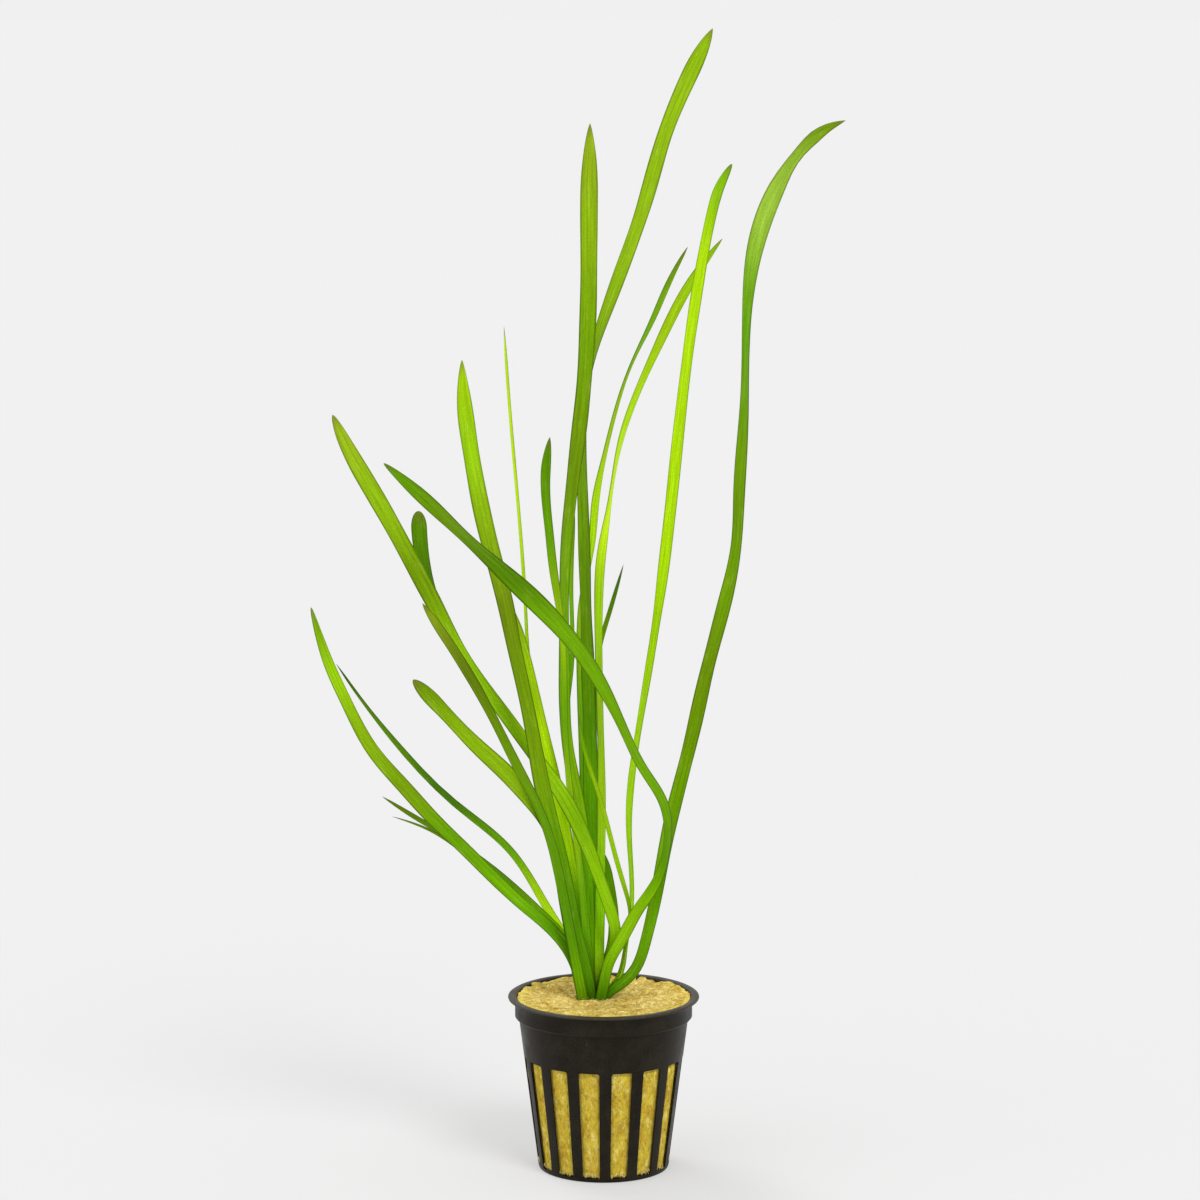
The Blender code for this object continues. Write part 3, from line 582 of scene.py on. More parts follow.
def smooth_curve(stations, values, at):
    """The natural cubic spline through the values, read at other stations."""
    stations, values = np.asarray(stations, float), np.asarray(values, float)
    count = len(stations)
    span = np.diff(stations)
    slope = np.diff(values, axis=0) / span[:, None]
    matrix = np.eye(count)
    right = np.zeros_like(values)
    inner = np.arange(1, count - 1)
    matrix[inner, inner - 1] = span[:-1]
    matrix[inner, inner] = 2 * (span[:-1] + span[1:])
    matrix[inner, inner + 1] = span[1:]
    right[1:-1] = 6 * np.diff(slope, axis=0)
    bend = np.linalg.solve(matrix, right)
    first = np.clip(np.searchsorted(stations, at) - 1, 0, count - 2)
    along = (at - stations[first])[:, None]
    length = span[first][:, None]
    start = slope[first] - length * (2 * bend[first] + bend[first + 1]) / 6
    curve = bend[first] / 2 + along * (bend[first + 1] - bend[first]) / (6 * length)
    return values[first] + along * (start + along * curve)


def blade_width(along, length, width, tip, shape, growing):
    """Width along a blade: it grows from the base by the smooth step, stays even, and runs out in the tip.

    There it is times (1 - (1 - s)^2)^shape, where s is the share of the tip that is left.
    """
    base = min(width, LEAF_BASE_WIDTH)
    body = base + (width - base) * smooth(along / growing)
    left = np.clip((length - along) / tip, 0, 1)
    return body * (1 - (1 - left) ** 2) ** shape


def blade_section(look):
    """A blade's section as (across, height) pairs for a half width of 1 and a half thickness of 1.

    The points run along the lower face and back along the upper one. The half thickness is
    (1 - |across|^5)^(1/2), and low ridges stand on the lower face where the main veins are.
    """
    across = np.cos(np.linspace(0, math.pi, look.columns))
    thick = np.sqrt(1 - np.abs(across) ** 5)
    ridges = sum(np.exp(-((across - at) / 0.05) ** 2) for at in (-0.62, -0.32, 0.32, 0.62))
    ridges = 0.25 * ridges + 0.5 * np.exp(-(across / 0.07) ** 2)
    upper = np.stack((across, thick - 0.4 * ridges), axis=1)
    lower = np.stack((across, -thick - ridges * thick), axis=1)
    return np.concatenate((lower[1:-1], upper[::-1]))


def leaf_tones(look, names, along, length):
    """Colours along a blade: its named tones at even steps, blended smoothly.

    The foot is lighter by painted light, which stands in for the light that the crowded leaves
    block and fades out over its reach. The lowest millimetres, which stand close together in the
    wool, are darker again by painted shade. The very tip turns brown.
    """
    tones = np.array([tuple(getattr(look, name)) for name in names.split()])
    at = np.clip(along / length, 0, 1) * (len(tones) - 1)
    low = np.minimum(at.astype(int), len(tones) - 2)
    blend = smooth(at - low)[:, None]
    tone = tones[low] * (1 - blend) + tones[low + 1] * blend
    # Painted light: a lift at the foot that stands in for light blocked by the neighbouring leaves.
    tone *= 1 + look.painted_foot_light * (1 - smooth(along / in_mm(look.painted_foot_light_reach)))[:, None]
    # Painted shade: the tone darkens where the blades crowd together just above the wool.
    tone *= 1 - look.painted_base_shade * (1 - smooth(along / in_mm(look.painted_base_shade_reach)))[:, None]
    dry = look.tip_brown * (1 - smooth((length - along) / in_mm(look.tip_reach)))[:, None]
    return tone * (1 - dry) + np.array(look.brown) * dry


def leaf_blade(look, surface, name, width, tip, shape, row, place, first_turn, slot, tones, route):
    """One leaf: an oval section carried along its route, which is a natural cubic spline.

    At a station the middle is the spline's point, the edge direction is turned about the path by the
    spline's angle, and the section is lifted by a gutter, depth x (0.35 - across^2), and by slow ripples
    along the edges, height x across^3 x a sine of the length. The tip and the foot close on one point each.
    """
    base = (row, PLACE_FIRST + PLACE_PITCH * place, LEAF_BASE, first_turn)
    route = np.array((base, *route), float)
    stations = np.append(0, np.cumsum(np.linalg.norm(np.diff(route[:, :3], axis=0), axis=1)))
    length = stations[-1]
    root = in_mm(look.root_depth)
    even = np.linspace(-root, length - tip, max(8, round((length - tip + root) / in_mm(look.step))))
    ending = length - tip * (1 - np.cos(np.linspace(math.pi / 2, 0.06, look.tip_rows)))
    along = np.concatenate((even, ending[1:]))
    read = smooth_curve(stations, route, along)
    centre = read[:, :3]
    turn = np.radians(read[:, 3])[:, None]
    ahead = np.gradient(centre, along, axis=0)
    ahead /= np.linalg.norm(ahead, axis=1)[:, None]
    across = np.cross(ahead, (0.0, 1.0, 0.0))
    across /= np.linalg.norm(across, axis=1)[:, None]
    away = np.cross(across, ahead)
    edge = across * np.cos(turn) + away * np.sin(turn)
    face = np.cross(edge, ahead)
    seed = 10.0 * row + place
    growing = min(GROWING_SHARE * length, MIDDLE_GROWING if row == MIDDLE else length)
    half = blade_width(along, length, width, tip, shape, growing) / 2
    free = smooth(along / 25) * smooth((length - along) / 12)
    wobble = 1 + look.unevenness * free * np.sin(along / 7.3 + seed) * np.sin(along / 11.9 + 2 * seed)
    thick = np.minimum(in_mm(look.thickness) / 2, half * 0.4)
    gutter = look.gutter * half * free
    ripple = in_mm(look.ripple) * free * np.sin(along / 5.7 + 3 * seed) * np.clip(half / 2.5, 0, 1)
    section = blade_section(look)
    lift = (
        section[:, 1] * thick[:, None]
        + gutter[:, None] * (0.35 - section[:, 0] ** 2)
        + ripple[:, None] * section[:, 0] ** 3
    )
    side = section[:, 0] * (half * wobble)[:, None]
    rings = centre[:, None] + edge[:, None] * side[..., None] + face[:, None] * lift[..., None]
    ends = np.array((centre[0], route[-1, :3]))
    piece, used = closed_shell(name.replace("leaf", "blade"), rings, ends, surface=surface, smooth_angle=70)
    from_foot = np.append(np.repeat(along, len(section)), (-root, length))
    across_blade = np.append(np.tile(section[:, 0] / 2 + 0.5, len(along)), (0.5, 0.5))
    keep_on_points(piece, "leaf_tone", leaf_tones(look, tones, from_foot, length)[used])
    keep_map(piece, np.stack((across_blade, from_foot / 10 + seed), 1)[used])
    return finish_piece(piece, slot, name)


def body_radius(height):
    """Outer radius of the pot's tapered body at a height."""
    return BASE_RADIUS + (BODY_TOP_RADIUS - BASE_RADIUS) * height / STEP_HEIGHT


def slot_half_width(height):
    """Half the width of a side slot at a height, with its corners rounded by a circle's arc."""
    share = (height - SIDE_SLOT_LOW) / (SIDE_SLOT_HIGH - SIDE_SLOT_LOW)
    straight = (SIDE_SLOT_WIDTH_LOW + (SIDE_SLOT_WIDTH_HIGH - SIDE_SLOT_WIDTH_LOW) * share) / 2
    from_end = np.minimum(height - SIDE_SLOT_LOW, SIDE_SLOT_HIGH - height)
    short = SLOT_CORNER - np.clip(from_end, 0, SLOT_CORNER)
    return straight - (SLOT_CORNER - np.sqrt(np.maximum(SLOT_CORNER ** 2 - short ** 2, 0)))


def pot_stations(look):
    """The pot's half section as (inner radius, inner height, outer radius, outer height) rows.

    The rows run from the middle of the floor up the wall to the mouth, and the wall's rows have the
    same height inside and outside, so that a slot's edge joins two points at one height.
    """
    wall, floor = in_mm(look.wall), in_mm(look.floor)
    corner = SLOT_CORNER * (1 - np.cos(np.radians((0, 32, 62, 90))))
    heights = np.concatenate((
        SIDE_SLOT_LOW + corner,
        np.linspace(SIDE_SLOT_LOW + 4, SIDE_SLOT_HIGH - 4, 8),
        (SIDE_SLOT_HIGH - corner)[::-1],
        (36.0, 40.0, STEP_HEIGHT - 1.0),
    ))
    drain = np.linspace(DRAIN_SLOT_INNER, DRAIN_SLOT_OUTER, 6)
    bottom = [(radius, floor, radius, 0.0) for radius in (2.5, *drain, 15.6, 16.8)]
    foot = [
        (BASE_RADIUS - wall - 0.15, floor, BASE_RADIUS - 0.5, 0.0),
        (BASE_RADIUS - wall, floor + 0.05, BASE_RADIUS - 0.15, 0.15),
        (BASE_RADIUS - wall + 0.05, floor + 0.12, BASE_RADIUS, 0.5),
    ]
    side = [(body_radius(h) - wall, h, body_radius(h), h) for h in heights]
    inner, outer = COLLAR_RADIUS - wall, COLLAR_RADIUS
    collar = [
        (BODY_TOP_RADIUS - wall, STEP_HEIGHT + wall * 0.8, BODY_TOP_RADIUS, STEP_HEIGHT),
        (inner - 0.3, STEP_HEIGHT + wall + 0.1, outer - 0.25, STEP_HEIGHT + 0.05),
        (inner, STEP_HEIGHT + wall + 0.5, outer, STEP_HEIGHT + 0.35),
        (inner, STEP_HEIGHT + 3, outer, STEP_HEIGHT + 2.6),
        (inner, POT_HEIGHT - 1.3, outer, POT_HEIGHT - 1.6),
    ]
    return np.array(bottom + foot + side + collar), len(bottom + foot), len(heights) - 3


def rim_rows(look):
    """The flange's section from inside the mouth over its top to its underside, as (radius, height)."""
    inner, outer, top = COLLAR_RADIUS - in_mm(look.wall), FLANGE_RADIUS, POT_HEIGHT
    return np.array((
        (inner + 0.05, top - 0.7), (inner + 0.2, top - 0.25), (inner + 0.5, top - 0.04),
        (inner + 1.1, top), (outer - 0.9, top), (outer - 0.35, top - 0.05), (outer - 0.08, top - 0.22),
        (outer, top - 0.45), (outer - 0.12, top - 0.7), (outer - 0.6, top - 0.9),
        (outer - 1.3, top - 1.1), (COLLAR_RADIUS + 0.15, top - 1.35),
    ))


def in_slot(column, columns, opened):
    """Whether the face after a column is open: the opened ones lie in the middle of each sector."""
    solid = (columns - opened) // 2
    return (column % columns >= solid) & (column % columns < columns - solid)


def sector_angles(column, columns, opened, half, slots):
    """Angles of columns round a ring of slots, from the middle of the first slot's sector.

    In each sector the opened columns share the slot, which reaches half to each side, and the others
    share the rest evenly.
    """
    sector = math.pi / slots
    local = column % columns
    solid = (columns - opened) // 2
    before = -sector + (sector - half) * local / solid
    after = half + (sector - half) * (local - columns + solid) / solid
    across = half * (local - columns / 2) / (opened / 2)
    angle = np.where(local < solid, before, np.where(local <= columns - solid, across, after))
    return 2 * sector * (column // columns) + angle


def column_angles(radius, height):
    """Angles of the pot's columns in each row: the floor's turn into the wall's outside the drain slots."""
    column = np.arange(SIDE_SLOTS * SIDE_COLUMNS)
    clamped = np.clip(height, SIDE_SLOT_LOW, SIDE_SLOT_HIGH)
    half = np.arcsin(slot_half_width(clamped) / np.maximum(radius, BASE_RADIUS - 3))[:, None]
    wall = math.pi / SIDE_SLOTS + sector_angles(column, SIDE_COLUMNS, SIDE_OPEN, half, SIDE_SLOTS)
    half = np.arcsin(DRAIN_SLOT_WIDTH / 2 / np.clip(radius, DRAIN_SLOT_INNER, DRAIN_SLOT_OUTER))[:, None]
    floor = sector_angles(column + DRAIN_COLUMNS // 2, DRAIN_COLUMNS, DRAIN_OPEN, half, DRAIN_SLOTS)
    outward = smooth((radius - DRAIN_SLOT_OUTER) / (BASE_RADIUS - 1.0 - DRAIN_SLOT_OUTER))[:, None]
    return FRONT + floor * (1 - outward) + wall * outward


def pot_skin(look):
    """The pot: its closed half section turned round the axis on a grid, with the slots left open.

    A row is a radius and a height, and a column is an angle, so a point is (radius cos angle, radius
    sin angle, height). The inner and the outer face of a slot are left out, and strips of quads join
    the two skins along its edge.
    """
    stations, wall_first, slot_rows = pot_stations(look)
    inner, outer = stations[:, :2], stations[::-1, 2:]
    section = np.concatenate((inner, rim_rows(look), outer))
    angles = column_angles(section[:, 0], section[:, 1])
    rows, columns = angles.shape
    points = round_axis(section[:, :1], angles, section[:, 1:])
    face = np.arange(rows * columns).reshape(rows, columns)
    back = face[::-1]
    column = np.arange(columns)
    side_open = in_slot(column, SIDE_COLUMNS, SIDE_OPEN)
    drain_open = in_slot(column + DRAIN_COLUMNS // 2, DRAIN_COLUMNS, DRAIN_OPEN)
    keep = np.ones((rows - 1, columns), bool)
    strips = []
    for first, last, gap in (
        (1, 6, drain_open),
        (wall_first, wall_first + slot_rows - 1, side_open),
    ):
        keep[first:last, gap] = False
        keep[rows - 1 - last:rows - 1 - first, gap] = False
        starts = np.flatnonzero(gap & ~np.roll(gap, 1))
        ends = np.flatnonzero(~gap & np.roll(gap, 1))
        for edge in (starts, ends):
            strips.append(np.stack((
                face[first:last, edge], face[first + 1:last + 1, edge],
                back[first + 1:last + 1, edge], back[first:last, edge],
            ), -1).reshape(-1, 4))
        after = (np.flatnonzero(gap) + 1) % columns
        for row in (first, last):
            strips.append(np.stack((face[row, gap], face[row, after], back[row, after], back[row, gap]), -1))
    middle = np.array(((0, 0, section[0, 1]), (0, 0, section[-1, 1])))
    piece, _ = new_piece(
        "net_pot_shell",
        np.concatenate((points.reshape(-1, 3), middle)),
        grid_quads(rows, columns)[keep],
        np.concatenate(strips),
        pole_fan(face[0], rows * columns),
        pole_fan(face[-1], rows * columns + 1),
        surface=pot_surface(look),
        smooth_angle=38,
        recalculate=True,
    )
    rounded = piece.modifiers.new("rounded_slot_edges", "BEVEL")
    rounded.width = look.edge_round
    rounded.segments = 2
    rounded.limit_method = "ANGLE"
    rounded.angle_limit = math.radians(50)
    return finish_piece(piece, "pot_plastic", "net_pot")


def from_slot_middle(angle, height):
    """Distance from the nearest slot's middle line as a share of its half width, at most 1."""
    sector = 2 * math.pi / SIDE_SLOTS
    turned = np.mod(angle - FRONT, sector) - sector / 2
    inside = np.clip(height, SIDE_SLOT_LOW + SLOT_CORNER, SIDE_SLOT_HIGH - SLOT_CORNER)
    return np.clip(np.abs(turned) * body_radius(inside) / slot_half_width(inside), 0, 1)


def wool_side(look, angle, height):
    """Points on the plug's side: the pot's taper less the inset, swollen into each slot, and rough.

    The swelling is a pillow: 1 - s^4 across the slot, where s is the share of its half width, times a
    smooth rise over its lowest and highest millimetres.
    """
    rise = smooth((height - SIDE_SLOT_LOW) / 0.8) * smooth((SIDE_SLOT_HIGH - 0.4 - height) / 1.2)
    pillow = (1 - from_slot_middle(angle, height) ** 4) * rise
    radius = body_radius(height) - WOOL_INSET
    even = round_axis(radius, angle, height)
    rough = in_mm(look.side_rough) * (0.6 * lumpy(even, 1.3, 3.0) + 0.6 * lumpy(even, 3.1, 8.0))
    return round_axis(radius + (in_mm(look.swelling) + rough) * pillow, angle, height)


def wool_edge(look, angle):
    """Radius of the plug's torn top edge: close to the pot in front, with notches at the back."""
    ring = round_axis(24.0, angle, 0.0)
    torn = 1.1 * lumpy(ring, 2.3, 5.0) + 0.7 * lumpy(ring, 0.9, 6.0) - 0.3
    return COLLAR_RADIUS - EDGE_GAP - backness(angle) * in_mm(look.edge_tear) * np.clip(torn, 0, 1)


def wool_height(look, x, y):
    """Height of the plug's top: three crossed waves, three sizes of lumps, and a rise round the leaves."""
    waves = (np.sin(0.55 * x + 1.1) + np.sin(0.47 * y + 0.31 * x) + np.sin(0.9 * y - 0.4 * x + 2.0)) / 3
    flat = np.stack((x, y, np.zeros_like(x)), -1)
    lumps = 0.4 * lumpy(flat, 4.2, 1.0) + 0.45 * lumpy(flat, 1.9, 2.0) + 0.1 * lumpy(flat, 0.9, 4.0)
    from_leaves = np.hypot(x - HOLE_CENTRE[0], y - HOLE_CENTRE[1]) - 4.4
    collar = 0.35 * (1 - smooth(from_leaves / 2.2)) * (1 + lumpy(flat, 1.1, 9.0))
    return WOOL_TOP + WAVE_HEIGHT * waves + in_mm(look.top_rough) * lumps + collar


def edge_drop(from_edge, angle):
    """How far the top sinks at its edge. At the back it first rises towards the rim, then rolls over."""
    back = backness(angle)
    return 0.15 * (1 + back) * (1 - smooth(from_edge / 0.7)) - 0.35 * back * (1 - smooth(from_edge / 6))


def clump_outline(angle):
    """Radius of the rounded square that the leaf bases fill, as a superellipse of the fourth power."""
    return ((np.cos(angle) / CLUMP_HALF_WIDTH) ** 4 + (np.sin(angle) / CLUMP_HALF_DEPTH) ** 4) ** -0.25


def wool_plug(look):
    """The plug on a grid of rings and angles: up its side, over its torn edge and in to the leaves.

    On top the rings shrink evenly from the edge to the clump's outline while their centre moves to the
    hole's. The last ring goes down into the hole.
    """
    columns = SIDE_SLOTS * 21
    angle = np.arange(columns) * math.tau / columns
    foot_radius = body_radius(WOOL_FOOT) - WOOL_INSET
    edge = wool_edge(look, angle)
    rings = [
        round_axis(foot_radius - 0.9, angle, WOOL_FOOT),
        round_axis(foot_radius - 0.2, angle, WOOL_FOOT + 0.05),
        round_axis(foot_radius, angle, WOOL_FOOT + 0.2),
        *wool_side(look, *np.meshgrid(angle, np.linspace(WOOL_FOOT + 0.4, STEP_HEIGHT, 82))),
        round_axis(COLLAR_RADIUS - 1.4, angle, STEP_HEIGHT + 1.3),
        round_axis(np.minimum(edge, COLLAR_RADIUS - 0.9), angle, STEP_HEIGHT + 2.6),
        round_axis(np.minimum(edge, COLLAR_RADIUS - 0.9), angle, WOOL_TOP - 1.0),
    ]
    inward = np.linspace(0, 1, 58)[:, None]
    radius = edge * (1 - inward) + clump_outline(angle) * inward
    x, y = radius * np.cos(angle) + HOLE_CENTRE[0] * inward, radius * np.sin(angle) + HOLE_CENTRE[1] * inward
    drop = edge_drop(edge - radius, angle) + 0.9 * smooth((inward - 0.97) / 0.03)
    top = np.stack((x, y, wool_height(look, x, y) - drop), -1)
    throat = top[-1] * (1, 1, 0) + (0, 0, WOOL_TOP - 2.5)
    poles = np.array(((0, 0, WOOL_FOOT), (*HOLE_CENTRE, WOOL_TOP - 2.5)))
    piece, _ = closed_shell(
        "wool_body",
        np.concatenate((rings, top, [throat])),
        poles,
        surface=wool_surface(look),
        smooth_angle=180,
        recalculate=True,
    )
    return finish_piece(piece, "mineral_wool", "wool_plug")


def fibre_mesh(name, paths, radius, tones, surface):
    """Fibres as three-sided tubes along paths, an array of (fibre, station, xyz), pointed at both ends.

    At a station three points stand round the path at thirds of a turn, at radius x the square root of
    the sine of pi x the share of the length.
    """
    count, stations = paths.shape[:2]
    ahead = np.gradient(paths, axis=1)
    ahead /= np.linalg.norm(ahead, axis=2, keepdims=True) + 1e-9
    side = np.cross(ahead, (0.31, 0.52, 0.79))
    side /= np.linalg.norm(side, axis=2, keepdims=True) + 1e-9
    other = np.cross(ahead, side)
    share = np.linspace(0.02, 0.98, stations)
    size = (radius * np.sin(np.pi * share) ** 0.5)[:, :, None, None]
    turn = np.arange(3) * math.tau / 3
    round_path = side[:, :, None] * np.cos(turn)[:, None] + other[:, :, None] * np.sin(turn)[:, None]
    points = paths[:, :, None] + round_path * size
    one = grid_quads(stations, 3).reshape(-1, 4)
    first = np.arange(count)[:, None, None] * stations * 3
    ends = np.array(((2, 1, 0), np.array((0, 1, 2)) + 3 * (stations - 1)))
    piece, used = new_piece(
        name,
        points.reshape(-1, 3),
        (one + first).reshape(-1, 4),
        (ends + first).reshape(-1, 3),
        surface=surface,
        smooth_angle=180,
    )
    keep_on_points(piece, "fibre_tone", np.repeat(tones, stations * 3)[used])
    return piece


def top_fibres(look):
    """Fibres that lie on the plug's top: short arcs in x and y, lifted to the top's own height."""
    draw = np.random.default_rng(11)
    count, stations = look.top_fibres, 6
    reach = np.sqrt(draw.uniform(0.0, 1.0, count)) * (COLLAR_RADIUS - 2.0)
    around = draw.uniform(0, math.tau, count)
    heading = draw.uniform(0, math.tau, count)
    length = draw.uniform(0.4, 1.3, count)
    bend = draw.normal(0, 1.6, count)
    step = np.linspace(-0.5, 0.5, stations)
    way = heading[:, None] + bend[:, None] * step
    x = (reach * np.cos(around))[:, None] + length[:, None] * step * np.cos(way)
    y = (reach * np.sin(around))[:, None] + length[:, None] * step * np.sin(way)
    stray = draw.uniform(0.0, 0.16, count)[:, None] * (1 + np.abs(step) * draw.uniform(-1, 2, count)[:, None])
    z = wool_height(look, x, y) + 0.02 + stray
    limit = wool_edge(look, np.arctan2(y, x)) - 0.4
    out = np.hypot(x, y)
    keep = (out < limit).all(axis=1)
    cx, cy = HOLE_CENTRE
    from_hole = np.hypot(x - cx, y - cy)
    keep &= (from_hole > clump_outline(np.arctan2(y - cy, x - cx)) - 0.3).all(axis=1)
    z = z - edge_drop(limit + 0.4 - out, np.arctan2(y, x))
    paths = np.stack((x, y, z), -1)[keep]
    radius = draw.uniform(0.03, 0.06, count)[keep, None]
    tones = draw.uniform(0, 1, count)[keep]
    return paths, radius, tones


def side_fibres(look):
    """Fibres that show in the slots: arcs in angle and height, laid on the plug's side."""
    draw = np.random.default_rng(12)
    count, stations = look.side_fibres, 6
    sector = math.tau / SIDE_SLOTS
    slot = draw.integers(0, SIDE_SLOTS, count)
    height = draw.uniform(SIDE_SLOT_LOW + 0.8, SIDE_SLOT_HIGH - 0.5, count)
    half = slot_half_width(height) / body_radius(height)
    offset = draw.uniform(-0.95, 0.95, count) * half
    lean = draw.normal(0, 0.55, count)
    length = draw.uniform(0.8, 2.8, count)
    bend = draw.normal(0, 0.9, count)
    step = np.linspace(-0.5, 0.5, stations)
    way = lean[:, None] + bend[:, None] * step
    z = np.clip(height[:, None] + length[:, None] * step * np.cos(way), WOOL_FOOT + 0.4, SIDE_SLOT_HIGH)
    shift = length[:, None] * step * np.sin(way) / body_radius(height)[:, None]
    reach = half[:, None] * 0.98
    angle = FRONT + sector * (slot[:, None] + 0.5) + np.clip(offset[:, None] + shift, -reach, reach)
    paths = wool_side(look, angle, z)
    paths[..., :2] *= draw.uniform(1.0, 1.004, count)[:, None, None]
    radius = draw.uniform(0.025, 0.045, count)[:, None]
    tones = draw.uniform(0, 1, count)
    return paths, radius, tones


def ragged_fibres(look):
    """Pale broken fibres along the bottom of each slot, pointing down and out."""
    draw = np.random.default_rng(13)
    count, stations = look.ragged_fibres, 6
    sector = math.tau / SIDE_SLOTS
    slot = draw.integers(0, SIDE_SLOTS, count)
    height = draw.uniform(1.9, 3.2, count)
    half = slot_half_width(np.full(count, SIDE_SLOT_LOW + 2)) / body_radius(height)
    angle = FRONT + sector * (slot + 0.5) + draw.uniform(-0.9, 0.9, count) * half
    step = np.linspace(0, 1, stations)
    length = draw.uniform(0.3, 1.1, count)
    z = np.maximum(height[:, None] - length[:, None] * step, SIDE_SLOT_LOW + 0.05)
    lean = draw.normal(0, 0.02, count)[:, None] * step
    radius = body_radius(height)[:, None] - 0.45 + draw.uniform(-0.25, 0.3, count)[:, None] * (0.3 + step)
    paths = round_axis(radius, angle[:, None] + lean, z)
    return paths, draw.uniform(0.05, 0.1, count)[:, None], draw.uniform(1.0, 2.0, count)


FIBRES = {
    "wool_top_fibres": top_fibres,
    "wool_side_fibres": side_fibres,
    "wool_ragged_fibres": ragged_fibres,
}


def crown_stem(look):
    """The crown: rings from its foot to its top, whose radius swells and is ribbed by seven folds."""
    columns, rows = 84, 26
    angle = np.arange(columns) * math.tau / columns
    up = np.linspace(0, 1, rows)[:, None]
    height = CROWN_FOOT + (CROWN_TOP - CROWN_FOOT) * up
    taper = 0.6 + 0.4 * smooth(up / 0.5) - 0.12 * smooth((up - 0.9) / 0.1)
    radius = CROWN_RADIUS * taper * (1 + 0.04 * np.cos(7 * angle + 2 * up))
    rings = round_axis(radius, angle, height) + (*HOLE_CENTRE, 0)
    poles = np.array(((*HOLE_CENTRE, CROWN_FOOT), (*HOLE_CENTRE, CROWN_TOP)))
    piece, _ = closed_shell("crown_stem", rings, poles, surface=crown_surface(look), recalculate=True)
    return finish_piece(piece, "crown_stem", "crown")


# Settings that a user would change.


def colour_property(name, value, description):
    return bpy.props.FloatVectorProperty(
        name=name, description=description, subtype="COLOR", size=3, default=value, min=0.0, max=1.0
    )


def length_property(name, value, description):
    return bpy.props.FloatProperty(
        name=name, description=description, default=value * MM, min=0.0, unit="LENGTH", precision=5
    )


def share_property(name, value, description):
    return bpy.props.FloatProperty(name=name, description=description, default=value, min=0.0)


def count_property(name, value, description):
    return bpy.props.IntProperty(name=name, description=description, default=value, min=3)


class LeafSettings(bpy.types.PropertyGroup):
    """Sizes and tones of the blades."""

    thickness: length_property("Thickness", 0.42, "Thickness of a blade along its middle")
    root_depth: length_property("Root depth", 2.4, "How far a blade reaches down into the crown")
    step: length_property("Step", 1.3, "Distance between two sections of a blade")
    ripple: length_property("Ripple", 0.12, "Height of the slow ripples along the edges")
    gutter: share_property("Gutter", 0.16, "Depth of a blade's gutter as a share of its half width")
    unevenness: share_property("Unevenness", 0.035, "How much the width wanders, as a share of it")
    columns: count_property("Columns", 15, "Points across a blade's face")
    tip_rows: count_property("Tip rows", 14, "Sections in a blade's tip")
    vein_contrast: share_property("Vein contrast", 0.17, "How much the veins lighten and darken the tone")
    # Painted shade: the share of the tone that is left at a blade's edge, where the face turns from the
    # light.
    painted_edge_shade: share_property("Edge shade", 0.48, "The tone's share that is left at a blade's edge")
    gloss: share_property("Gloss", 0.03, "Strength of the blades' reflection")
    # Painted light: the foot is lifted to stand in for light that the crowded leaves block.
    painted_foot_light: share_property("Foot light", 0.55, "How much lighter a blade is at its foot")
    painted_foot_light_reach: length_property("Foot reach", 95.0, "How far the lighter foot reaches")
    # Painted shade: a darkening of the tone where the blades crowd together at the wool.
    painted_base_shade: share_property("Base shade", 0.42, "How much darker a blade is where it leaves the wool")
    painted_base_shade_reach: length_property("Base reach", 9.0, "How far the dark base reaches")
    tip_brown: share_property("Tip brown", 0.6, "How brown the very tip is")
    tip_reach: length_property("Tip reach", 5.0, "How far the brown reaches from the tip")
    patch_colour: colour_property("Patches", (0.42, 0.60, 0.06), "Tone of the paler patches")
    root: colour_property("Root", (0.045, 0.135, 0.001), "Darkest green, at the base")
    shade: colour_property("Shade", (0.065, 0.190, 0.001), "Shaded green")
    deep: colour_property("Deep", (0.100, 0.250, 0.001), "Dark green")
    grass: colour_property("Grass", (0.130, 0.350, 0.001), "Pure green")
    mid: colour_property("Mid", (0.150, 0.310, 0.0015), "Middle green")
    moss: colour_property("Moss", (0.145, 0.265, 0.002), "Dull green")
    olive: colour_property("Olive", (0.135, 0.215, 0.003), "Brownish green")
    fresh: colour_property("Fresh", (0.180, 0.420, 0.002), "Fresh green")
    willow: colour_property("Willow", (0.220, 0.385, 0.004), "Yellowish green")
    straw: colour_property("Straw", (0.260, 0.375, 0.010), "Yellowish tip")
    lime: colour_property("Lime", (0.270, 0.510, 0.004), "Light green")
    lemon: colour_property("Lemon", (0.340, 0.560, 0.004), "Light yellow green")
    bright: colour_property("Bright", (0.410, 0.700, 0.003), "Bright green")
    glow_tone: colour_property("Glowing", (0.515, 0.776, 0.007), "Brightest yellow green")
    pale: colour_property("Pale", (0.290, 0.480, 0.040), "Greyish light green")
    brown: colour_property("Brown", (0.156, 0.141, 0.026), "Brown of a drying tip")


class PotSettings(bpy.types.PropertyGroup):
    """Sizes and finish of the net pot."""

    wall: length_property("Wall", 0.5, "Thickness of the pot's wall")
    floor: length_property("Floor", 0.9, "Thickness of the pot's floor")
    edge_round: length_property("Edge rounding", 0.08, "Rounding of the slots' edges")
    gloss: share_property("Gloss", 0.14, "Strength of the plastic's reflection")
    colour: colour_property("Plastic", (0.0075, 0.0050, 0.0018), "Colour of the plastic")
    cloud_colour: colour_property("Clouding", (0.0150, 0.0110, 0.0055), "Colour where the plastic is cloudy")
    # Also the colour of the painted highlight on the rim's top.
    dust_and_sheen_colour: colour_property("Dust", (0.070, 0.058, 0.036), "Colour of dust and scuffs")


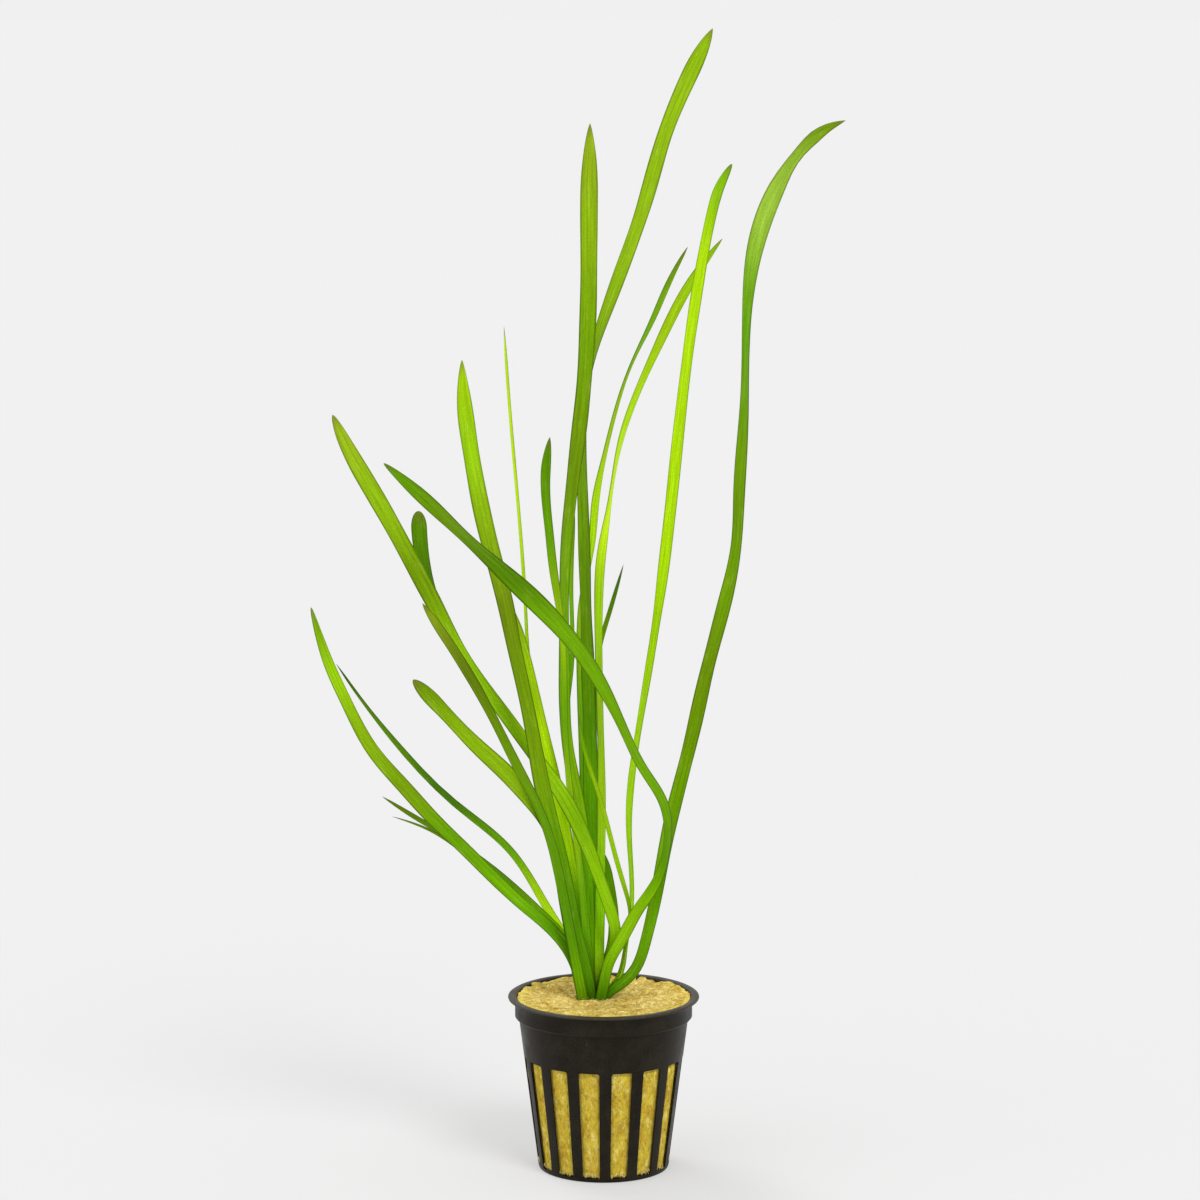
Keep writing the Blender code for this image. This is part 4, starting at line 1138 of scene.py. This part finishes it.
class WoolSettings(bpy.types.PropertyGroup):
    """Sizes and colours of the mineral wool and of the crown in it."""

    top_rough: length_property("Top roughness", 1.0, "Height of the lumps on top")
    side_rough: length_property("Side roughness", 0.16, "Height of the lumps in the slots")
    swelling: length_property("Swelling", 0.42, "How far the wool presses into the slots")
    edge_tear: length_property("Edge tear", 2.4, "Depth of the notches in the edge at the back")
    top_fibres: count_property("Top fibres", 6000, "Fibres on the top")
    side_fibres: count_property("Side fibres", 4200, "Fibres in the slots")
    ragged_fibres: count_property("Ragged fibres", 520, "Broken fibres at the slots' bottoms")
    side_colour: colour_property("Side", (0.61, 0.465, 0.047), "Wool in the slots")
    top_colour: colour_property("Top", (0.70, 0.54, 0.165), "Wool on top")
    brown_colour: colour_property("Brown", (0.46, 0.28, 0.025), "Darker clumps")
    pale_colour: colour_property("Pale", (0.97, 0.86, 0.34), "Pale strands")
    crown_pale: colour_property("Crown light", (0.16, 0.28, 0.03), "Light streaks of the crown")
    crown_dark: colour_property("Crown dark", (0.05, 0.11, 0.01), "Dark streaks of the crown")


class StageSettings(bpy.types.PropertyGroup):
    """The floor, the light and the camera."""

    floor_size: bpy.props.FloatProperty(
        name="Floor size", description="Side of the square floor", default=60.0, min=1.0, unit="LENGTH"
    )
    floor_colour: colour_property("Floor", (0.36, 0.36, 0.36), "Colour of the floor")
    floor_light: share_property("Floor light", 0.335, "Light that the floor gives by itself")
    sky: share_property("Sky", 0.871, "Brightness of the light from all round")
    key_light: share_property("Key light", 1.50, "Strength of the light from the right and the front")
    fill_light: share_property("Fill light", 0.50, "Strength of the light from the left and the front")
    back_light: share_property("Back light", 0.85, "Strength of the light from the left and behind")
    focal_length: bpy.props.FloatProperty(
        name="Focal length", description="Focal length for a sensor 36 mm wide", default=124.56, min=1.0
    )
    camera_pitch: bpy.props.FloatProperty(
        name="Camera pitch",
        description="Angle of the camera's view below the horizon",
        default=math.radians(8.57),
        unit="ROTATION",
    )
    camera_place: bpy.props.FloatVectorProperty(
        name="Camera place",
        description="Where the camera stands",
        default=(-0.00104, -1.1644, 0.3408),
        size=3,
        subtype="TRANSLATION",
        unit="LENGTH",
    )


# Operators: one for each piece or group of like pieces, and one for the stage.


class VALLISNERIA_OT_leaves(bpy.types.Operator):
    """Build the 23 leaf blades"""

    bl_idname = "vallisneria.leaves"
    bl_label = "Build the leaves"

    def execute(self, context):
        look = context.scene.vallisneria_leaves
        surfaces = {slot: leaf_surface(slot, look, *finish) for slot, finish in LEAF_FINISHES.items()}
        for leaf in LEAVES:
            leaf_blade(look, surfaces[leaf[7]], *leaf)
        return {"FINISHED"}


class VALLISNERIA_OT_pot(bpy.types.Operator):
    """Build the slotted net pot"""

    bl_idname = "vallisneria.pot"
    bl_label = "Build the net pot"

    def execute(self, context):
        pot_skin(context.scene.vallisneria_pot)
        return {"FINISHED"}


class VALLISNERIA_OT_wool(bpy.types.Operator):
    """Build the plug of mineral wool"""

    bl_idname = "vallisneria.wool"
    bl_label = "Build the wool plug"

    def execute(self, context):
        wool_plug(context.scene.vallisneria_wool)
        return {"FINISHED"}


class VALLISNERIA_OT_fibres(bpy.types.Operator):
    """Lay loose fibres on the wool's top and in the slots"""

    bl_idname = "vallisneria.fibres"
    bl_label = "Build the wool fibres"

    def execute(self, context):
        look = context.scene.vallisneria_wool
        surface = wool_surface(look, "wool_fibre", "fibre_tone")
        for name, lay in FIBRES.items():
            finish_piece(fibre_mesh(name, *lay(look), surface), "mineral_wool")
        return {"FINISHED"}


class VALLISNERIA_OT_crown(bpy.types.Operator):
    """Build the crown that carries the leaves"""

    bl_idname = "vallisneria.crown"
    bl_label = "Build the crown"

    def execute(self, context):
        crown_stem(context.scene.vallisneria_wool)
        return {"FINISHED"}


def soft_sun(name, strength, direction, softness):
    """A distant lamp that shines along a direction, with soft shadows."""
    lamp = bpy.data.lights.new(name, "SUN")
    lamp.energy = strength
    lamp.angle = math.radians(softness)
    sun = bpy.data.objects.new(name, lamp)
    x, y, z = direction
    sun.rotation_euler = (math.atan2(math.hypot(x, y), -z), 0, math.atan2(x, -y) + math.pi)
    bpy.context.scene.collection.objects.link(sun)
    return sun


class VALLISNERIA_OT_stage(bpy.types.Operator):
    """Build the floor, the light and the camera"""

    bl_idname = "vallisneria.stage"
    bl_label = "Build the stage"

    def execute(self, context):
        look = context.scene.vallisneria_stage
        half = in_mm(look.floor_size) / 2
        corners = np.array(((-half, -half, 0), (half, -half, 0), (half, half, 0), (-half, half, 0)))
        floor, _ = new_piece("floor", corners, np.array(((0, 1, 2, 3),)), surface=floor_surface(look))
        world = bpy.data.worlds.new("even_light")
        world.use_nodes = True
        sky = world.node_tree.nodes["Background"].inputs["Color"]
        sky.default_value = (look.sky, look.sky, look.sky, 1.0)
        context.scene.world = world
        soft_sun("key_light", look.key_light, (-0.50, 0.85, -1.05), 22)
        soft_sun("fill_light", look.fill_light, (0.75, 0.55, -0.60), 60)
        soft_sun("back_light", look.back_light, (0.60, -0.75, -1.15), 24)
        lens = bpy.data.cameras.new("camera")
        lens.lens = look.focal_length
        lens.sensor_width = 36.0
        camera = bpy.data.objects.new("camera", lens)
        camera.location = look.camera_place
        camera.rotation_euler = (math.pi / 2 - look.camera_pitch, 0, 0)
        context.scene.collection.objects.link(camera)
        context.scene.camera = camera
        context.scene.view_settings.view_transform = "Standard"
        return {"FINISHED"}


class VALLISNERIA_PT_pieces(bpy.types.Panel):
    """Lists the operators that build the plant and its stage"""

    bl_idname = "VALLISNERIA_PT_pieces"
    bl_label = "Potted vallisneria"
    bl_space_type = "VIEW_3D"
    bl_region_type = "UI"
    bl_category = "Vallisneria"

    def draw(self, context):
        for operator in OPERATORS:
            self.layout.operator(operator.bl_idname)


SETTINGS = {
    "vallisneria_leaves": LeafSettings,
    "vallisneria_pot": PotSettings,
    "vallisneria_wool": WoolSettings,
    "vallisneria_stage": StageSettings,
}
OPERATORS = (
    VALLISNERIA_OT_stage,
    VALLISNERIA_OT_pot,
    VALLISNERIA_OT_wool,
    VALLISNERIA_OT_fibres,
    VALLISNERIA_OT_crown,
    VALLISNERIA_OT_leaves,
)


def register():
    for group in (*SETTINGS.values(), *OPERATORS, VALLISNERIA_PT_pieces):
        bpy.utils.register_class(group)
    for name, group in SETTINGS.items():
        setattr(bpy.types.Scene, name, bpy.props.PointerProperty(type=group))


def unregister():
    for name in SETTINGS:
        delattr(bpy.types.Scene, name)
    for group in (VALLISNERIA_PT_pieces, *reversed(OPERATORS), *reversed(SETTINGS.values())):
        bpy.utils.unregister_class(group)


def main():
    register()
    bpy.ops.vallisneria.stage()
    bpy.ops.vallisneria.pot()
    bpy.ops.vallisneria.wool()
    bpy.ops.vallisneria.fibres()
    bpy.ops.vallisneria.crown()
    bpy.ops.vallisneria.leaves()


if __name__ == "__main__":
    main()
